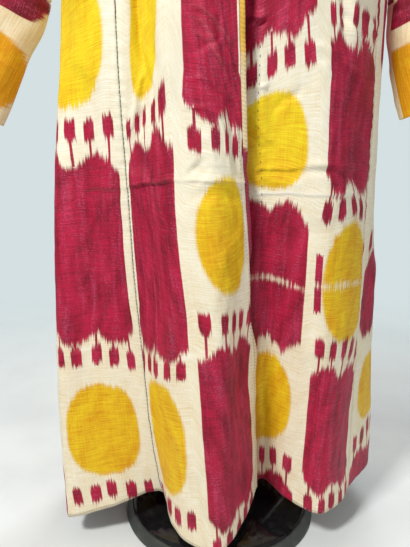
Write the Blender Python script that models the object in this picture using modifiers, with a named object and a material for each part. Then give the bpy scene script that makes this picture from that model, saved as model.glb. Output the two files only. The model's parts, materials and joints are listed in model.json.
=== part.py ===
"""An uzbek chapan, a collarless ikat robe, hanging on a limbless dress form.

Metres, +Z up. The front of the robe faces -Y, and the wearer's right is at -X.
The origin is the centre of the underside of the form's round base.

Every piece of cloth is a wall of one thickness on one common skin. The skin is a
closed curve around the body at each height. It goes through the stations of the
SKIN table, which give the hem and the waist of each fold, and the folds fade
between those two heights.
"""

import math

import bmesh
import bpy
import numpy as np

for old in list(bpy.data.objects):
    bpy.data.objects.remove(old)
parts = bpy.data.collections.new("chapan on a dress form")
bpy.context.scene.collection.children.link(parts)

# Cloth
WALL = 0.002
SEAM = 0.0003

# Heights of the robe
HEM_Z = 0.066
WAIST_Z = 0.90
ARMPIT_Z = 0.975
TIP_Z = 1.235
NECK_Z = 1.300
FOLD_ROUND = 1.5
CHEST_TAPER = 0.03
HEM_LIFT_FADE = 2

# Shoulders, neck and chest
TIP_X = 0.200
NECK_X = 0.075
SHOULDER_Y = 0.005
NECK_BACK_Y = 0.075
NECK_DROP = 0.012
NECK_SCOOP_ROUND = 0.7
NECK_LINE_BEND = 1.3
CHEST_FRONT = 0.136
CHEST_BACK = 0.122
CHEST_HALF_WIDTH = 0.270
CHEST_ROUND = 2.5
SHOULDER_FULLNESS = 0.25

# Where one front lies over the other; LIFT_FROM and LIFT_TO are stations
LIFT = 0.0055
LIFT_FROM = 2.2
LIFT_TO = 4.6
CROSSING = 0.42
YOKE_LIFT = 0.35
OVER_EDGE = [  # height, station of the edge that lies on top
    (0.066, 6.60),
    (0.250, 6.48),
    (0.420, 6.42),
    (0.530, 6.28),
    (0.700, 6.17),
    (0.975, 6.15),
]
UNDER_EDGE = [  # height, station of the edge that lies beneath
    (0.066, 5.50),
    (0.975, 4.90),
]

# Edging of the front edges and the neck
EDGING_WIDTH = 0.009
EDGING_THICKNESS = 0.0038
EDGING_SIDES = 8
EDGING_CORNER = math.cos(math.pi / 8)

# The fold under each arm, where gore and sleeve meet
ARMPIT_FOLD = 0.005
FOLD_CLIMB = ARMPIT_FOLD * math.pi / 2 / (TIP_Z - ARMPIT_Z)
FOLD_V = 1 + math.asin(FOLD_CLIMB) * 2 / math.pi
SLEEVE_SET_OUT = 0.040
UNDERARM_SET_OUT = 0.030
CORNER_RISE = ARMPIT_FOLD * (math.pi / 2 - 1)
CORNER_GAP = 0.0012

SKIN = [  # station, hem x, hem y, hem z, waist x, waist y, how low its fold fades
    ("side crease right", -0.253, -0.098, 0.045, -0.231, -0.022, 3.0),
    ("gore front right", -0.187, -0.090, 0.057, -0.197, -0.086, 1.6),
    ("front seam right", -0.097, -0.085, 0.080, -0.144, -0.118, 0.75),
    ("pleat hollow right", -0.079, -0.132, 0.063, -0.108, -0.116, 1.0),
    ("over front shoulder", -0.048, -0.165, 0.051, -0.084, -0.141, 1.4),
    ("over front ridge", -0.009, -0.177, 0.048, -0.035, -0.150, 1.7),
    ("over front flank", 0.034, -0.120, 0.062, 0.005, -0.147, 1.5),
    ("front notch", 0.073, -0.052, 0.086, 0.052, -0.134, 1.2),
    ("under front flank", 0.108, -0.092, 0.078, 0.092, -0.137, 1.4),
    ("under front lobe", 0.160, -0.114, 0.061, 0.138, -0.129, 1.6),
    ("pleat hollow left", 0.199, -0.084, 0.060, 0.176, -0.104, 1.5),
    ("front seam left", 0.225, -0.046, 0.062, 0.224, -0.045, 0.9),
    ("side left", 0.288, 0.058, 0.066, 0.226, 0.006, 1.6),
    ("gore back left", 0.262, 0.126, 0.066, 0.204, 0.066, 1.8),
    ("back seam left", 0.202, 0.140, 0.070, 0.158, 0.104, 1.2),
    ("back lobe left", 0.128, 0.204, 0.061, 0.106, 0.128, 1.8),
    ("back valley left", 0.052, 0.156, 0.072, 0.052, 0.130, 1.3),
    ("back lobe middle", -0.008, 0.208, 0.059, -0.002, 0.137, 1.9),
    ("back valley right", -0.074, 0.150, 0.073, -0.058, 0.130, 1.2),
    ("back lobe right", -0.134, 0.196, 0.060, -0.110, 0.126, 1.7),
    ("back seam right", -0.200, 0.128, 0.071, -0.158, 0.103, 1.1),
    ("gore back right", -0.250, 0.092, 0.062, -0.205, 0.064, 1.6),
    ("side right", -0.257, -0.008, 0.052, -0.231, 0.014, 2.6),
]

# The sleeves hang from the shoulder tips. A row is a section across the sleeve.
SEAM_SHARE = 0.50
SLEEVE_SEAM = 0.0007
SLEEVE_RIGHT = [  # share of length, inner x, inner z, outer x, outer z, y, half depth
    (0.14, -0.262, 0.974, -0.268, 1.186, 0.000, 0.074),
    (0.32, -0.262, 0.915, -0.346, 1.088, -0.004, 0.056),
    (0.50, -0.256, 0.855, -0.396, 1.005, -0.010, 0.042),
    (0.75, -0.294, 0.765, -0.448, 0.890, -0.018, 0.034),
    (1.00, -0.337, 0.679, -0.506, 0.765, -0.024, 0.028),
]
SLEEVE_LEFT = [
    (0.14, 0.256, 0.974, 0.266, 1.184, 0.012, 0.070),
    (0.32, 0.258, 0.915, 0.334, 1.085, 0.004, 0.055),
    (0.50, 0.252, 0.850, 0.374, 1.000, 0.002, 0.044),
    (0.75, 0.258, 0.765, 0.408, 0.892, 0.000, 0.036),
    (1.00, 0.280, 0.688, 0.449, 0.774, -0.006, 0.030),
]

# How finely the walls are made
PROBE = 0.0015
SMALL_PROBE = 0.001
SKIRT_ROWS = 16
YOKE_ROWS = 7
SLEEVE_ROWS_TOP = 4
SLEEVE_ROWS_UPPER = 4
SLEEVE_ROWS_LOWER = 5
NECK_COLUMNS = 5
FOLD_STEPS = 3
LAST_TRIM = 1.98
ROW_BEHIND = 0.05
SHARE_PROBE = 0.01
WALL_PROBE = 0.004

# Dress form
BASE_RADIUS = 0.170
RIM_TOP_RADIUS = 0.159
RIM_INNER_RADIUS = 0.148
RIM_HEIGHT = 0.017
DOME_HEIGHT = 0.042
POLE_RADIUS = 0.0125
COLLAR_TOP_Z = 0.074
FORM_SIDES = 32
SHOULDER_REST = 0.0004
TORSO = [  # height, half width, half depth, y of the middle
    (0.620, 0.150, 0.094, 0.000),
    (0.632, 0.162, 0.104, 0.000),
    (0.720, 0.172, 0.112, 0.002),
    (0.820, 0.162, 0.104, 0.002),
    (0.940, 0.126, 0.086, 0.000),
    (1.040, 0.140, 0.096, -0.002),
    (1.110, 0.152, 0.104, -0.004),
    (1.170, 0.166, 0.086, 0.000),
    (1.205, 0.176, 0.066, 0.004),
]
FORM_SHOULDER = [  # half width, half depth, y of the middle; heights follow the robe
    (0.188, 0.034, 0.005),
    (0.155, 0.037, 0.006),
    (0.120, 0.034, 0.006),
    (0.080, 0.009, 0.002),
]
NECK = [  # height, half width, half depth, y of the middle
    (1.303, 0.053, 0.034, 0.006),
    (1.318, 0.051, 0.044, 0.008),
    (1.340, 0.050, 0.047, 0.010),
    (1.375, 0.050, 0.048, 0.010),
]

CAP = [  # radius, height above the neck
    (0.000, 0.0180),
    (0.047, 0.0180),
    (0.053, 0.0120),
    (0.053, 0.0040),
    (0.049, 0.0000),
    (0.000, 0.0000),
]
COLLAR = [  # radius, height
    (0.000, COLLAR_TOP_Z),
    (0.017, COLLAR_TOP_Z),
    (0.021, COLLAR_TOP_Z - 0.006),
    (0.025, DOME_HEIGHT + SEAM),
    (0.000, DOME_HEIGHT + SEAM),
]
BASE = [  # radius, height
    (0.000, DOME_HEIGHT),
    (0.027, DOME_HEIGHT),
    (0.080, 0.0385),
    (0.125, 0.0305),
    (0.149, 0.0225),
    (RIM_TOP_RADIUS - 0.002, RIM_HEIGHT + SEAM),
    (RIM_INNER_RADIUS - SEAM, RIM_HEIGHT + SEAM),
    (RIM_INNER_RADIUS - SEAM, 0.0),
    (0.000, 0.0),
]
RIM = [  # radius, height
    (RIM_TOP_RADIUS, RIM_HEIGHT),
    (BASE_RADIUS - 0.001, 0.005),
    (BASE_RADIUS, 0.002),
    (BASE_RADIUS - 0.001, 0.0),
    (RIM_INNER_RADIUS, 0.0),
    (RIM_INNER_RADIUS, RIM_HEIGHT),
]

COLOURS = {  # material: colour, roughness, metallic
    "ikat": ((0.42, 0.03, 0.07, 1.0), 0.62, 0.0),
    "edging": ((0.52, 0.32, 0.10, 1.0), 0.70, 0.0),
    "jersey": ((0.70, 0.66, 0.58, 1.0), 0.90, 0.0),
    "black gloss": ((0.01, 0.01, 0.01, 1.0), 0.10, 0.0),
    "grey rim": ((0.04, 0.045, 0.04, 1.0), 0.55, 0.0),
    "steel": ((0.55, 0.55, 0.55, 1.0), 0.30, 1.0),
}


# ---------------------------------------------------------------- curves


def through(knots, values, at, closed=0.0):
    """Reads a smooth curve through the values, closed over a period or open."""
    knots = np.asarray(knots, float)
    values = np.asarray(values, float)
    at = np.asarray(at, float)
    if closed:
        at = np.mod(at - knots[0], closed) + knots[0]
        knots = np.concatenate([[knots[-1] - closed], knots, knots[:2] + closed])
        values = np.concatenate([values[-1:], values, values[:2]])
    steps = np.diff(knots)[:, None]
    slopes = np.diff(values, axis=0) / steps
    middle = slopes[:-1] * steps[1:] + slopes[1:] * steps[:-1]
    middle = middle / (steps[:-1] + steps[1:])
    tangents = np.concatenate([slopes[:1], middle, slopes[-1:]])
    low = np.clip(np.searchsorted(knots, at, side="right") - 1, 0, len(knots) - 2)
    step = steps[low]
    t = ((at - knots[low])[:, None]) / step
    rise = t * t * (3 - 2 * t)
    start = values[low] * (1 - rise) + values[low + 1] * rise
    bend = tangents[low] * t * (1 - t) ** 2 - tangents[low + 1] * t * t * (1 - t)
    return start + bend * step


def ease(share):
    """Goes from 0 to 1 with a soft start and end."""
    share = np.clip(share, 0.0, 1.0)
    return share * share * (3 - 2 * share)


STATION_NAMES = [row[0] for row in SKIN]
HEM_CURVE = np.array([row[1:4] for row in SKIN])
WAIST_CURVE = np.array([row[4:7] for row in SKIN])
STATION_COUNT = len(SKIN)


def spacing():
    """Gives each station its place around the hem, by chord length."""
    around = np.vstack([HEM_CURVE, HEM_CURVE[:1]])[:, :2]
    chords = np.linalg.norm(np.diff(around, axis=0), axis=1)
    return np.concatenate([[0.0], np.cumsum(chords)])


PLACES = spacing()
AROUND = PLACES[-1]


def place(station):
    """Turns a station's number, with a share past it, into its place."""
    return np.interp(station, np.arange(STATION_COUNT + 1), PLACES)


def named(station):
    return PLACES[STATION_NAMES.index(station)]


def skin(at, height):
    """The outer surface of the skirt at a place around and a height."""
    height = np.broadcast_to(height, np.shape(at)).astype(float)
    hem = through(PLACES[:-1], HEM_CURVE, at, AROUND)
    waist = through(PLACES[:-1], WAIST_CURVE, at, AROUND)
    rise = np.clip((height - HEM_Z) / (WAIST_Z - HEM_Z), 0.0, 1.0)
    hang = (1 - rise ** waist[:, 2]) ** FOLD_ROUND
    above = np.clip((height - WAIST_Z) / (ARMPIT_Z - WAIST_Z), 0.0, 1.0)
    taper = 1 - CHEST_TAPER * ease(above)
    spread = (hem[:, :2] - waist[:, :2]) * hang[:, None]
    flat = (waist[:, :2] + spread) * taper[:, None]
    lifted = height + (hem[:, 2] - HEM_Z) * (1 - rise) ** HEM_LIFT_FADE
    return np.column_stack([flat, lifted])


# ---------------------------------------------------------------- panels


class Cloth:
    """A piece of cloth as a surface of u and v, and the wall made from it.

    way is 1 where u runs around the body as the stations do, and -1 against them.
    """

    def __init__(self, surface, way, lift=None, neck_x=None):
        self.flat = surface
        self.way = way
        self.lift = lift
        self.neck_u = 1.0 if neck_x is None else self.where_x(neck_x)

    def where_x(self, x):
        """The u at which the shoulder row passes a given x."""
        us = np.linspace(0.0, 1.0, 201)
        xs = self.flat(us, np.full(len(us), 2.0))[:, 0]
        order = np.argsort(xs)
        return float(np.interp(x, xs[order], us[order]))

    def facing(self, surface, u, v):
        """The outward unit normal, from neighbouring points."""
        across = surface(u + PROBE, v) - surface(u - PROBE, v)
        upward = surface(u, v + PROBE) - surface(u, np.maximum(v - PROBE, 0.0))
        normal = np.cross(across, upward) * self.way
        return normal / np.linalg.norm(normal, axis=1)[:, None]

    def outer(self, u, v):
        u, v = np.broadcast_arrays(np.asarray(u, float), np.asarray(v, float))
        points = self.flat(u, v)
        if self.lift is None:
            return points
        return points + self.facing(self.flat, u, v) * self.lift(u, v)[:, None]

    def inner(self, u, v):
        u, v = np.broadcast_arrays(np.asarray(u, float), np.asarray(v, float))
        return self.outer(u, v) - self.facing(self.outer, u, v) * WALL

    def across(self, u, v):
        """The direction in which u grows, as unit vectors."""
        step = self.outer(u + SMALL_PROBE, v) - self.outer(u - SMALL_PROBE, v)
        return step / np.linalg.norm(step, axis=1)[:, None]

    def steps(self, columns, v):
        """Steps along a row, each end held half a seam back."""
        ends = np.array([0.0, 1.0])
        reach = self.outer(ends + SMALL_PROBE, v) - self.outer(ends - SMALL_PROBE, v)
        margin = SEAM / 2 / (np.linalg.norm(reach, axis=1) / (2 * SMALL_PROBE))
        if self.neck_u == 1.0:
            return np.linspace(margin[0], 1 - margin[1], columns + 1)
        to_neck = np.linspace(margin[0], self.neck_u, columns - NECK_COLUMNS + 1)
        past_neck = np.linspace(self.neck_u, 1 - margin[1], NECK_COLUMNS + 1)
        return np.concatenate([to_neck, past_neck[1:]])

    def build(self, name, columns, rows):
        outer = []
        inner = []
        for v in rows:
            us = self.steps(columns, min(v, LAST_TRIM))
            outer.append(self.outer(us, v))
            inner.append(self.inner(us, v))
        return wall(name, outer, inner)


def skirt_height(v):
    return HEM_Z + (ARMPIT_Z - HEM_Z) * np.clip(v, 0.0, 1.0)


def shoulder_z(x):
    slope = (NECK_Z - TIP_Z) / (TIP_X - NECK_X)
    return NECK_Z - slope * (np.abs(x) - NECK_X)


def front_top(x):
    """The top edge of a front: the shoulder line."""
    return SHOULDER_Y + 0 * x, shoulder_z(x)


def back_top(x):
    """The top edge of the back: the shoulder line, then a scoop round the neck."""
    inside = np.clip(1 - (x / NECK_X) ** 2, 0.0, 1.0)
    y = SHOULDER_Y + (NECK_BACK_Y - SHOULDER_Y) * inside**NECK_SCOOP_ROUND
    z = np.where(np.abs(x) > NECK_X, shoulder_z(x), NECK_Z - NECK_DROP * inside)
    return y, z


def body_panel(start, end, side, neck_x, depth, top):
    """A front or a back half: u is 0 at the armhole and 1 at its other edge.

    v goes from 0 at the hem to 1 at the armpit, and on to 2 at the shoulder.
    start and end give the places of the two edges by height.
    """

    def surface(u, v):
        height = skirt_height(v)
        low = skin(start(height) + (end(height) - start(height)) * u, height)
        seam_x = skin(start(height), height)[:, 0]
        edge_x = skin(end(height), height)[:, 0]
        share = (low[:, 0] - seam_x) / (edge_x - seam_x)
        turn = np.clip(v - 1, 0.0, 1.5) * math.pi / 2
        climb = np.sin(turn)
        beyond = (climb - FOLD_CLIMB) / (1 - FOLD_CLIMB)
        arm_x = seam_x + (side * TIP_X - seam_x) * ease(beyond)
        edge_x = edge_x + (neck_x - edge_x) * np.abs(climb) ** NECK_LINE_BEND
        x = arm_x + (edge_x - arm_x) * share
        chest = depth * (1 - np.abs(x / CHEST_HALF_WIDTH) ** CHEST_ROUND)
        y = low[:, 1] + (chest - low[:, 1]) * ease(2 * climb)
        top_y, top_z = top(x)
        out = np.cos(turn) * (1 + SHOULDER_FULLNESS * climb**2)
        yoke = np.column_stack(
            [x, top_y + (y - top_y) * out, ARMPIT_Z + (top_z - ARMPIT_Z) * climb]
        )
        return np.where((v > 1)[:, None], yoke, low)

    return surface


def gore_panel(start, end):
    """A side gore: u runs from its front seam to its back seam, v as above.

    From v = 1 to 2 its top edge turns outward, into the fold under the arm.
    """

    def surface(u, v):
        here = start + (end - start) * u
        points = skin(here, skirt_height(v))
        top = np.full(len(here), ARMPIT_Z)
        along = (skin(here + SMALL_PROBE, top) - skin(here - SMALL_PROBE, top))[:, :2]
        outward = np.column_stack([along[:, 1], -along[:, 0]])
        outward /= np.linalg.norm(outward, axis=1)[:, None]
        middle = np.sqrt(np.sin(math.pi * np.clip(u, 0.0, 1.0)))
        run = np.clip(v - 1, 0.0, 1.2) * math.pi / 2
        turn = run * middle
        points[:, :2] += outward * (ARMPIT_FOLD * (1 - np.cos(turn)))[:, None]
        points[:, 2] += ARMPIT_FOLD * (np.sin(turn) + run - turn)
        return points

    return surface


# ---------------------------------------------------------------- meshes


def material(name):
    if name in bpy.data.materials:
        return bpy.data.materials[name]
    colour, roughness, metallic = COLOURS[name]
    made = bpy.data.materials.new(name)
    made.use_nodes = True
    shader = made.node_tree.nodes["Principled BSDF"]
    shader.inputs["Base Color"].default_value = colour
    shader.inputs["Roughness"].default_value = roughness
    shader.inputs["Metallic"].default_value = metallic
    return made


def add(name, mesh_bm, finish):
    bmesh.ops.recalc_face_normals(mesh_bm, faces=mesh_bm.faces[:])
    mesh = bpy.data.meshes.new(name)
    mesh_bm.to_mesh(mesh)
    mesh_bm.free()
    mesh.shade_smooth()
    mesh.set_sharp_from_angle(angle=math.radians(40))
    made = bpy.data.objects.new(name, mesh)
    made.data.materials.append(material(finish))
    parts.objects.link(made)
    return made


def wall(name, outer, inner, finish="ikat", round_it=False):
    """A cloth wall from rows of outer and inner points, closed at its edges."""
    columns = len(outer[0])
    made = bmesh.new()
    out = [[made.verts.new(p) for p in row] for row in outer]
    into = [[made.verts.new(p) for p in row] for row in inner]
    steps = columns if round_it else columns - 1
    for i in range(len(outer) - 1):
        for j in range(steps):
            k = (j + 1) % columns
            for side, order in ((out, 1), (into, -1)):
                low, next_low, next_high, high = (
                    side[i][j], side[i][k], side[i + 1][k], side[i + 1][j]
                )
                made.faces.new([low, next_low, next_high][::order])
                made.faces.new([low, next_high, high][::order])
    for j in range(steps):
        k = (j + 1) % columns
        made.faces.new([out[0][k], out[0][j], into[0][j], into[0][k]])
        made.faces.new([out[-1][j], out[-1][k], into[-1][k], into[-1][j]])
    for i in range(0 if round_it else len(outer) - 1):
        made.faces.new([out[i][0], out[i + 1][0], into[i + 1][0], into[i][0]])
        made.faces.new([out[i + 1][-1], out[i][-1], into[i][-1], into[i + 1][-1]])
    return add(name, made, finish)


def loft(name, rings, finish):
    """A solid through closed rings of equally many points, capped at both ends."""
    made = bmesh.new()
    rows = [[made.verts.new(p) for p in ring] for ring in rings]
    count = len(rows[0])
    for low, high in zip(rows, rows[1:]):
        for j in range(count):
            k = (j + 1) % count
            made.faces.new([low[j], low[k], high[k], high[j]])
    made.faces.new(rows[0][::-1])
    made.faces.new(rows[-1])
    return add(name, made, finish)


def turned(name, profile, finish, closed=False, steps=48):
    """A turned piece from its profile of radius and height, top to bottom."""
    points = [(radius, 0.0, height) for radius, height in profile]
    edges = [(i, i + 1) for i in range(len(points) - 1)]
    if closed:
        edges.append((len(points) - 1, 0))
    mesh = bpy.data.meshes.new(name)
    mesh.from_pydata(points, edges, [])
    made = bpy.data.objects.new(name, mesh)
    made.data.materials.append(material(finish))
    parts.objects.link(made)
    screw = made.modifiers.new("turn", "SCREW")
    screw.steps = steps
    screw.render_steps = steps
    screw.use_merge_vertices = True
    screw.merge_threshold = 0.0001
    screw.use_smooth_shade = True
    return made


def cylinder(name, radius, low, high, finish, sides=24):
    bpy.ops.mesh.primitive_cylinder_add(
        vertices=sides, radius=radius, depth=high - low, location=(0, 0, (low + high) / 2)
    )
    made = bpy.context.object
    made.name = name
    made.data.name = name
    made.data.materials.append(material(finish))
    made.data.shade_smooth()
    made.data.set_sharp_from_angle(angle=math.radians(40))
    for owner in list(made.users_collection):
        owner.objects.unlink(made)
    parts.objects.link(made)
    return made


# ---------------------------------------------------------------- body of the robe


def path(rows):
    """A station that drifts with height, as a place by height."""
    heights = [row[0] for row in rows]
    stations = [row[1] for row in rows]
    return lambda height: place(np.interp(height, heights, stations))


def fixed(station):
    where = named(station)
    return lambda height: where + 0 * height


over_start = fixed("front seam right")
over_end = path(OVER_EDGE)


def over_lift(u, v):
    """How far the front that lies on top stands off the one beneath."""
    height = skirt_height(v)
    here = over_start(height) + (over_end(height) - over_start(height)) * u
    share = (here - place(LIFT_FROM)) / (place(LIFT_TO) - place(LIFT_FROM))
    climb = np.sin(np.clip(v - 1, 0.0, 1.0) * math.pi / 2)
    higher = 1 + YOKE_LIFT * ease(climb / (CROSSING / 2))
    return LIFT * higher * ease(share) * (1 - ease((climb - CROSSING) / (1 - CROSSING)))


BODY = {
    "front_right": Cloth(
        body_panel(over_start, over_end, -1, -NECK_X, -CHEST_FRONT, front_top), 1, over_lift
    ),
    "front_left": Cloth(
        body_panel(
            fixed("front seam left"), path(UNDER_EDGE), 1, NECK_X, -CHEST_FRONT, front_top
        ),
        -1,
    ),
    "back_left": Cloth(
        body_panel(
            fixed("back seam left"), fixed("back lobe middle"), 1, 0.0, CHEST_BACK, back_top
        ),
        1,
        neck_x=NECK_X,
    ),
    "back_right": Cloth(
        body_panel(
            fixed("back seam right"), fixed("back lobe middle"), -1, 0.0, CHEST_BACK, back_top
        ),
        -1,
        neck_x=-NECK_X,
    ),
    "gore_left": Cloth(gore_panel(named("front seam left"), named("back seam left")), 1),
    "gore_right": Cloth(
        gore_panel(named("front seam right") + AROUND, named("back seam right")), -1
    ),
}
COLUMNS = {
    "front_right": 13,
    "front_left": 15,
    "back_left": 10,
    "back_right": 10,
    "gore_left": 10,
    "gore_right": 13,
}


def body_rows():
    """Rows of a front or back: even on the skirt, closer towards the shoulder."""
    skirt = np.linspace(0.0, 1.0, SKIRT_ROWS + 1)
    share = np.linspace(0.0, 1.0, YOKE_ROWS + 1)[1:]
    yoke = 1 + np.sin(share * math.pi / 2) * (1 - SEAM / CHEST_FRONT)
    return np.concatenate([skirt, [FOLD_V], yoke])


def gore_rows():
    skirt = np.linspace(0.0, 1.0, SKIRT_ROWS + 1)
    return np.concatenate([skirt, np.linspace(1.0, 2.0, FOLD_STEPS + 1)[1:]])


def make_body():
    for name, cloth in BODY.items():
        rows = gore_rows() if name.startswith("gore") else body_rows()
        cloth.build(name, COLUMNS[name], rows)


# ---------------------------------------------------------------- sleeves


def armhole(side):
    """The edge that a sleeve is sewn to, from the shoulder tip forward and round.

    Gives outer points, inner points and the direction that leads on past the edge.
    """
    front = BODY["front_" + side]
    back = BODY["back_" + side]
    gore = BODY["gore_" + side]
    under = np.linspace(0.0, 1.0, COLUMNS["gore_" + side] + 1)
    down = np.concatenate([[2.0], body_rows()[-2:SKIRT_ROWS:-1]])
    runs = []
    for cloth, u, v in ((front, 0 * down, down), (back, 0 * down, down[::-1])):
        runs.append([cloth.outer(u, v), cloth.inner(u, v), -cloth.across(u, v)])
    level = np.full(len(under), 2.0)
    onward = gore.outer(under, level) - gore.outer(under, level - ROW_BEHIND)
    onward /= np.linalg.norm(onward, axis=1)[:, None]
    runs.insert(1, [gore.outer(under, level), gore.inner(under, level), onward])
    loop = []
    for ahead, middle, behind in zip(*runs):
        corners = [(ahead[-1] + middle[0]) / 2, (middle[-1] + behind[0]) / 2]
        loop.append(
            np.vstack(
                [ahead[:-1], corners[:1], middle[1:-1], corners[1:], behind[1:-1]]
            )
        )
    loop[2] /= np.linalg.norm(loop[2], axis=1)[:, None]
    return loop


class Sleeve:
    """A sleeve as rings around the arm, by share of its length from the armhole."""

    def __init__(self, side, rows):
        self.outer_edge, self.inner_edge, self.onward = armhole(side)
        above = self.outer_edge[:, 2] - (ARMPIT_Z + ARMPIT_FOLD)
        in_corner = np.exp(-(((above - CORNER_RISE) / (CORNER_RISE / 2)) ** 2))
        self.gap = SEAM + (CORNER_GAP - SEAM) * in_corner
        self.rows = np.array(rows)
        start = self.outer_edge + self.onward * self.gap[:, None]
        self.start = start
        chords = np.linalg.norm(np.roll(start, -1, axis=0) - start, axis=1)
        travelled = np.concatenate([[0.0], np.cumsum(chords)[:-1]])
        self.angles = 2 * math.pi * travelled / chords.sum()
        self.first = rows[0][0]
        self.way = 1 if side == "left" else -1

    def section(self, share):
        """The flattened oval across the sleeve at a share of its length."""
        row = through(self.rows[:, 0], self.rows[:, 1:], np.array([share]))[0]
        inner_x, inner_z, outer_x, outer_z, y, depth = row
        middle = np.array([(inner_x + outer_x) / 2, y, (inner_z + outer_z) / 2])
        reach = np.array([(outer_x - inner_x) / 2, 0.0, (outer_z - inner_z) / 2])
        forward = np.array([0.0, -depth, 0.0])
        cosine = np.cos(self.angles)[:, None]
        sine = np.sin(self.angles)[:, None]
        return middle + reach * cosine + forward * sine

    def ring(self, share):
        if share >= self.first:
            return self.section(share)
        t = share / self.first
        end = self.section(self.first)
        leaving = (self.section(self.first + SHARE_PROBE) - end) / SHARE_PROBE * self.first
        under = (1 - np.cos(self.angles))[:, None] / 2
        setting_out = self.onward * (SLEEVE_SET_OUT * (1 - under) + UNDERARM_SET_OUT * under)
        rise = t * t * (3 - 2 * t)
        return (
            self.start * (1 - rise)
            + end * rise
            + setting_out * t * (1 - t) ** 2
            - leaving * t * t * (1 - t)
        )

    def inside(self, share):
        """The inner points of a ring, one wall in."""
        if share <= 0:
            return self.inner_edge + self.onward * self.gap[:, None]
        here = self.ring(share)
        ahead = self.ring(min(share + WALL_PROBE, 1.0))
        along = ahead - self.ring(max(share - WALL_PROBE, 0.0))
        around = np.roll(here, -1, axis=0) - np.roll(here, 1, axis=0)
        normal = np.cross(around, along) * self.way
        return here - normal / np.linalg.norm(normal, axis=1)[:, None] * WALL

    def build(self, name, shares):
        outer = [self.ring(share) for share in shares]
        inner = [self.inside(share) for share in shares]
        return wall(name, outer, inner, round_it=True)


def make_sleeves():
    for side, rows in (("right", SLEEVE_RIGHT), ("left", SLEEVE_LEFT)):
        sleeve = Sleeve(side, rows)
        near = np.linspace(0.0, sleeve.first, SLEEVE_ROWS_TOP + 1)
        middle = np.linspace(sleeve.first, SEAM_SHARE - SLEEVE_SEAM, SLEEVE_ROWS_UPPER + 1)
        low = np.linspace(SEAM_SHARE + SLEEVE_SEAM, 1.0, SLEEVE_ROWS_LOWER + 1)
        sleeve.build("sleeve_upper_" + side, np.concatenate([near, middle[1:]]))
        sleeve.build("sleeve_lower_" + side, low)


# ---------------------------------------------------------------- edging


def edging(name, outer, inner, sideways):
    """A rolled strip along an edge, beside it and a little thicker than the wall.

    sideways holds unit vectors that point from the edge to the strip.
    """
    middle = (outer + inner) / 2 + sideways * (EDGING_WIDTH / 2 + SEAM)
    upward = (outer - inner) / WALL
    angles = 2 * math.pi * (np.arange(EDGING_SIDES) + 0.5) / EDGING_SIDES
    half_width = EDGING_WIDTH / 2 / EDGING_CORNER
    half_depth = EDGING_THICKNESS / 2 / EDGING_CORNER
    rings = []
    for point, side, up in zip(middle, sideways, upward):
        rings.append(
            [
                point + side * math.cos(a) * half_width + up * math.sin(a) * half_depth
                for a in angles
            ]
        )
    return loft(name, rings, "edging")


def make_front_edging():
    up = body_rows()
    for side in ("right", "left"):
        front = BODY["front_" + side]
        edge = 1 + 0 * up
        edging(
            "edging_front_" + side,
            front.outer(edge, up),
            front.inner(edge, up),
            front.across(edge, up),
        )


def make_neck_edging():
    """The strip round the back of the neck, between the two shoulder seams."""
    top = body_rows()[-1]
    runs = []
    for side in ("right", "left"):
        back = BODY["back_" + side]
        us = back.steps(COLUMNS["back_" + side], top)[-NECK_COLUMNS - 1:]
        runs.append((back.outer(us, top), back.inner(us, top)))
    outer = np.vstack([runs[0][0][:-1], runs[1][0][::-1]])
    inner = np.vstack([runs[0][1][:-1], runs[1][1][::-1]])
    along = np.gradient(outer, axis=0)
    sideways = np.cross(along, outer - inner)
    sideways *= -np.sign(sideways[len(sideways) // 2, 1])
    for end, side in ((0, "right"), (-1, "left")):
        sideways[end] = BODY["front_" + side].across(np.array([1.0]), np.array([top]))[0]
    sideways /= np.linalg.norm(sideways, axis=1)[:, None]
    edging("edging_neck", outer, inner, sideways)


# ---------------------------------------------------------------- dress form


def oval(height, half_width, half_depth, middle_y):
    angles = np.arange(FORM_SIDES) * 2 * math.pi / FORM_SIDES
    x = half_width * np.cos(angles)
    y = middle_y + half_depth * np.sin(angles)
    return np.column_stack([x, y, np.full(FORM_SIDES, height)])


def make_form():
    across = TIP_X - NECK_X
    drop = (WALL + SHOULDER_REST) * math.hypot(NECK_Z - TIP_Z, across) / across
    shoulders = [
        (shoulder_z(half_width) - drop, half_width, half_depth, middle)
        for half_width, half_depth, middle in FORM_SHOULDER
    ]
    sections = TORSO + shoulders + NECK
    loft("form_torso", [oval(*section) for section in sections], "jersey")
    rest_z = NECK[-1][0] + SEAM
    turned("form_cap", [(r, rest_z + z) for r, z in CAP], "black gloss", steps=32)
    cylinder("form_pole", POLE_RADIUS, COLLAR_TOP_Z + SEAM, TORSO[0][0] - SEAM, "steel")
    turned("form_collar", COLLAR, "black gloss", steps=24)
    turned("form_base", BASE, "black gloss")
    turned("form_rim", RIM, "grey rim", closed=True)


# ---------------------------------------------------------------- the model

make_body()
make_sleeves()
make_front_edging()
make_neck_edging()
make_form()
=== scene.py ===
# %% [markdown]
# # An uzbek chapan on a dress form
# A chapan is a long collarless robe, open down the front. This one is sewn from loom
# widths of adras: a silk warp and a cotton weft, with the pattern dyed into the warp
# before weaving. Here it hangs on a limbless dress form with a round black base.
#
# The robe could be one sculpted surface, but a real one is cut from flat pieces that
# meet at seams, and the dyed pattern follows each piece's own warp. So every piece is
# its own sheet, and carries coordinates in metres along its warp and its weft.

import json
import math

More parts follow.
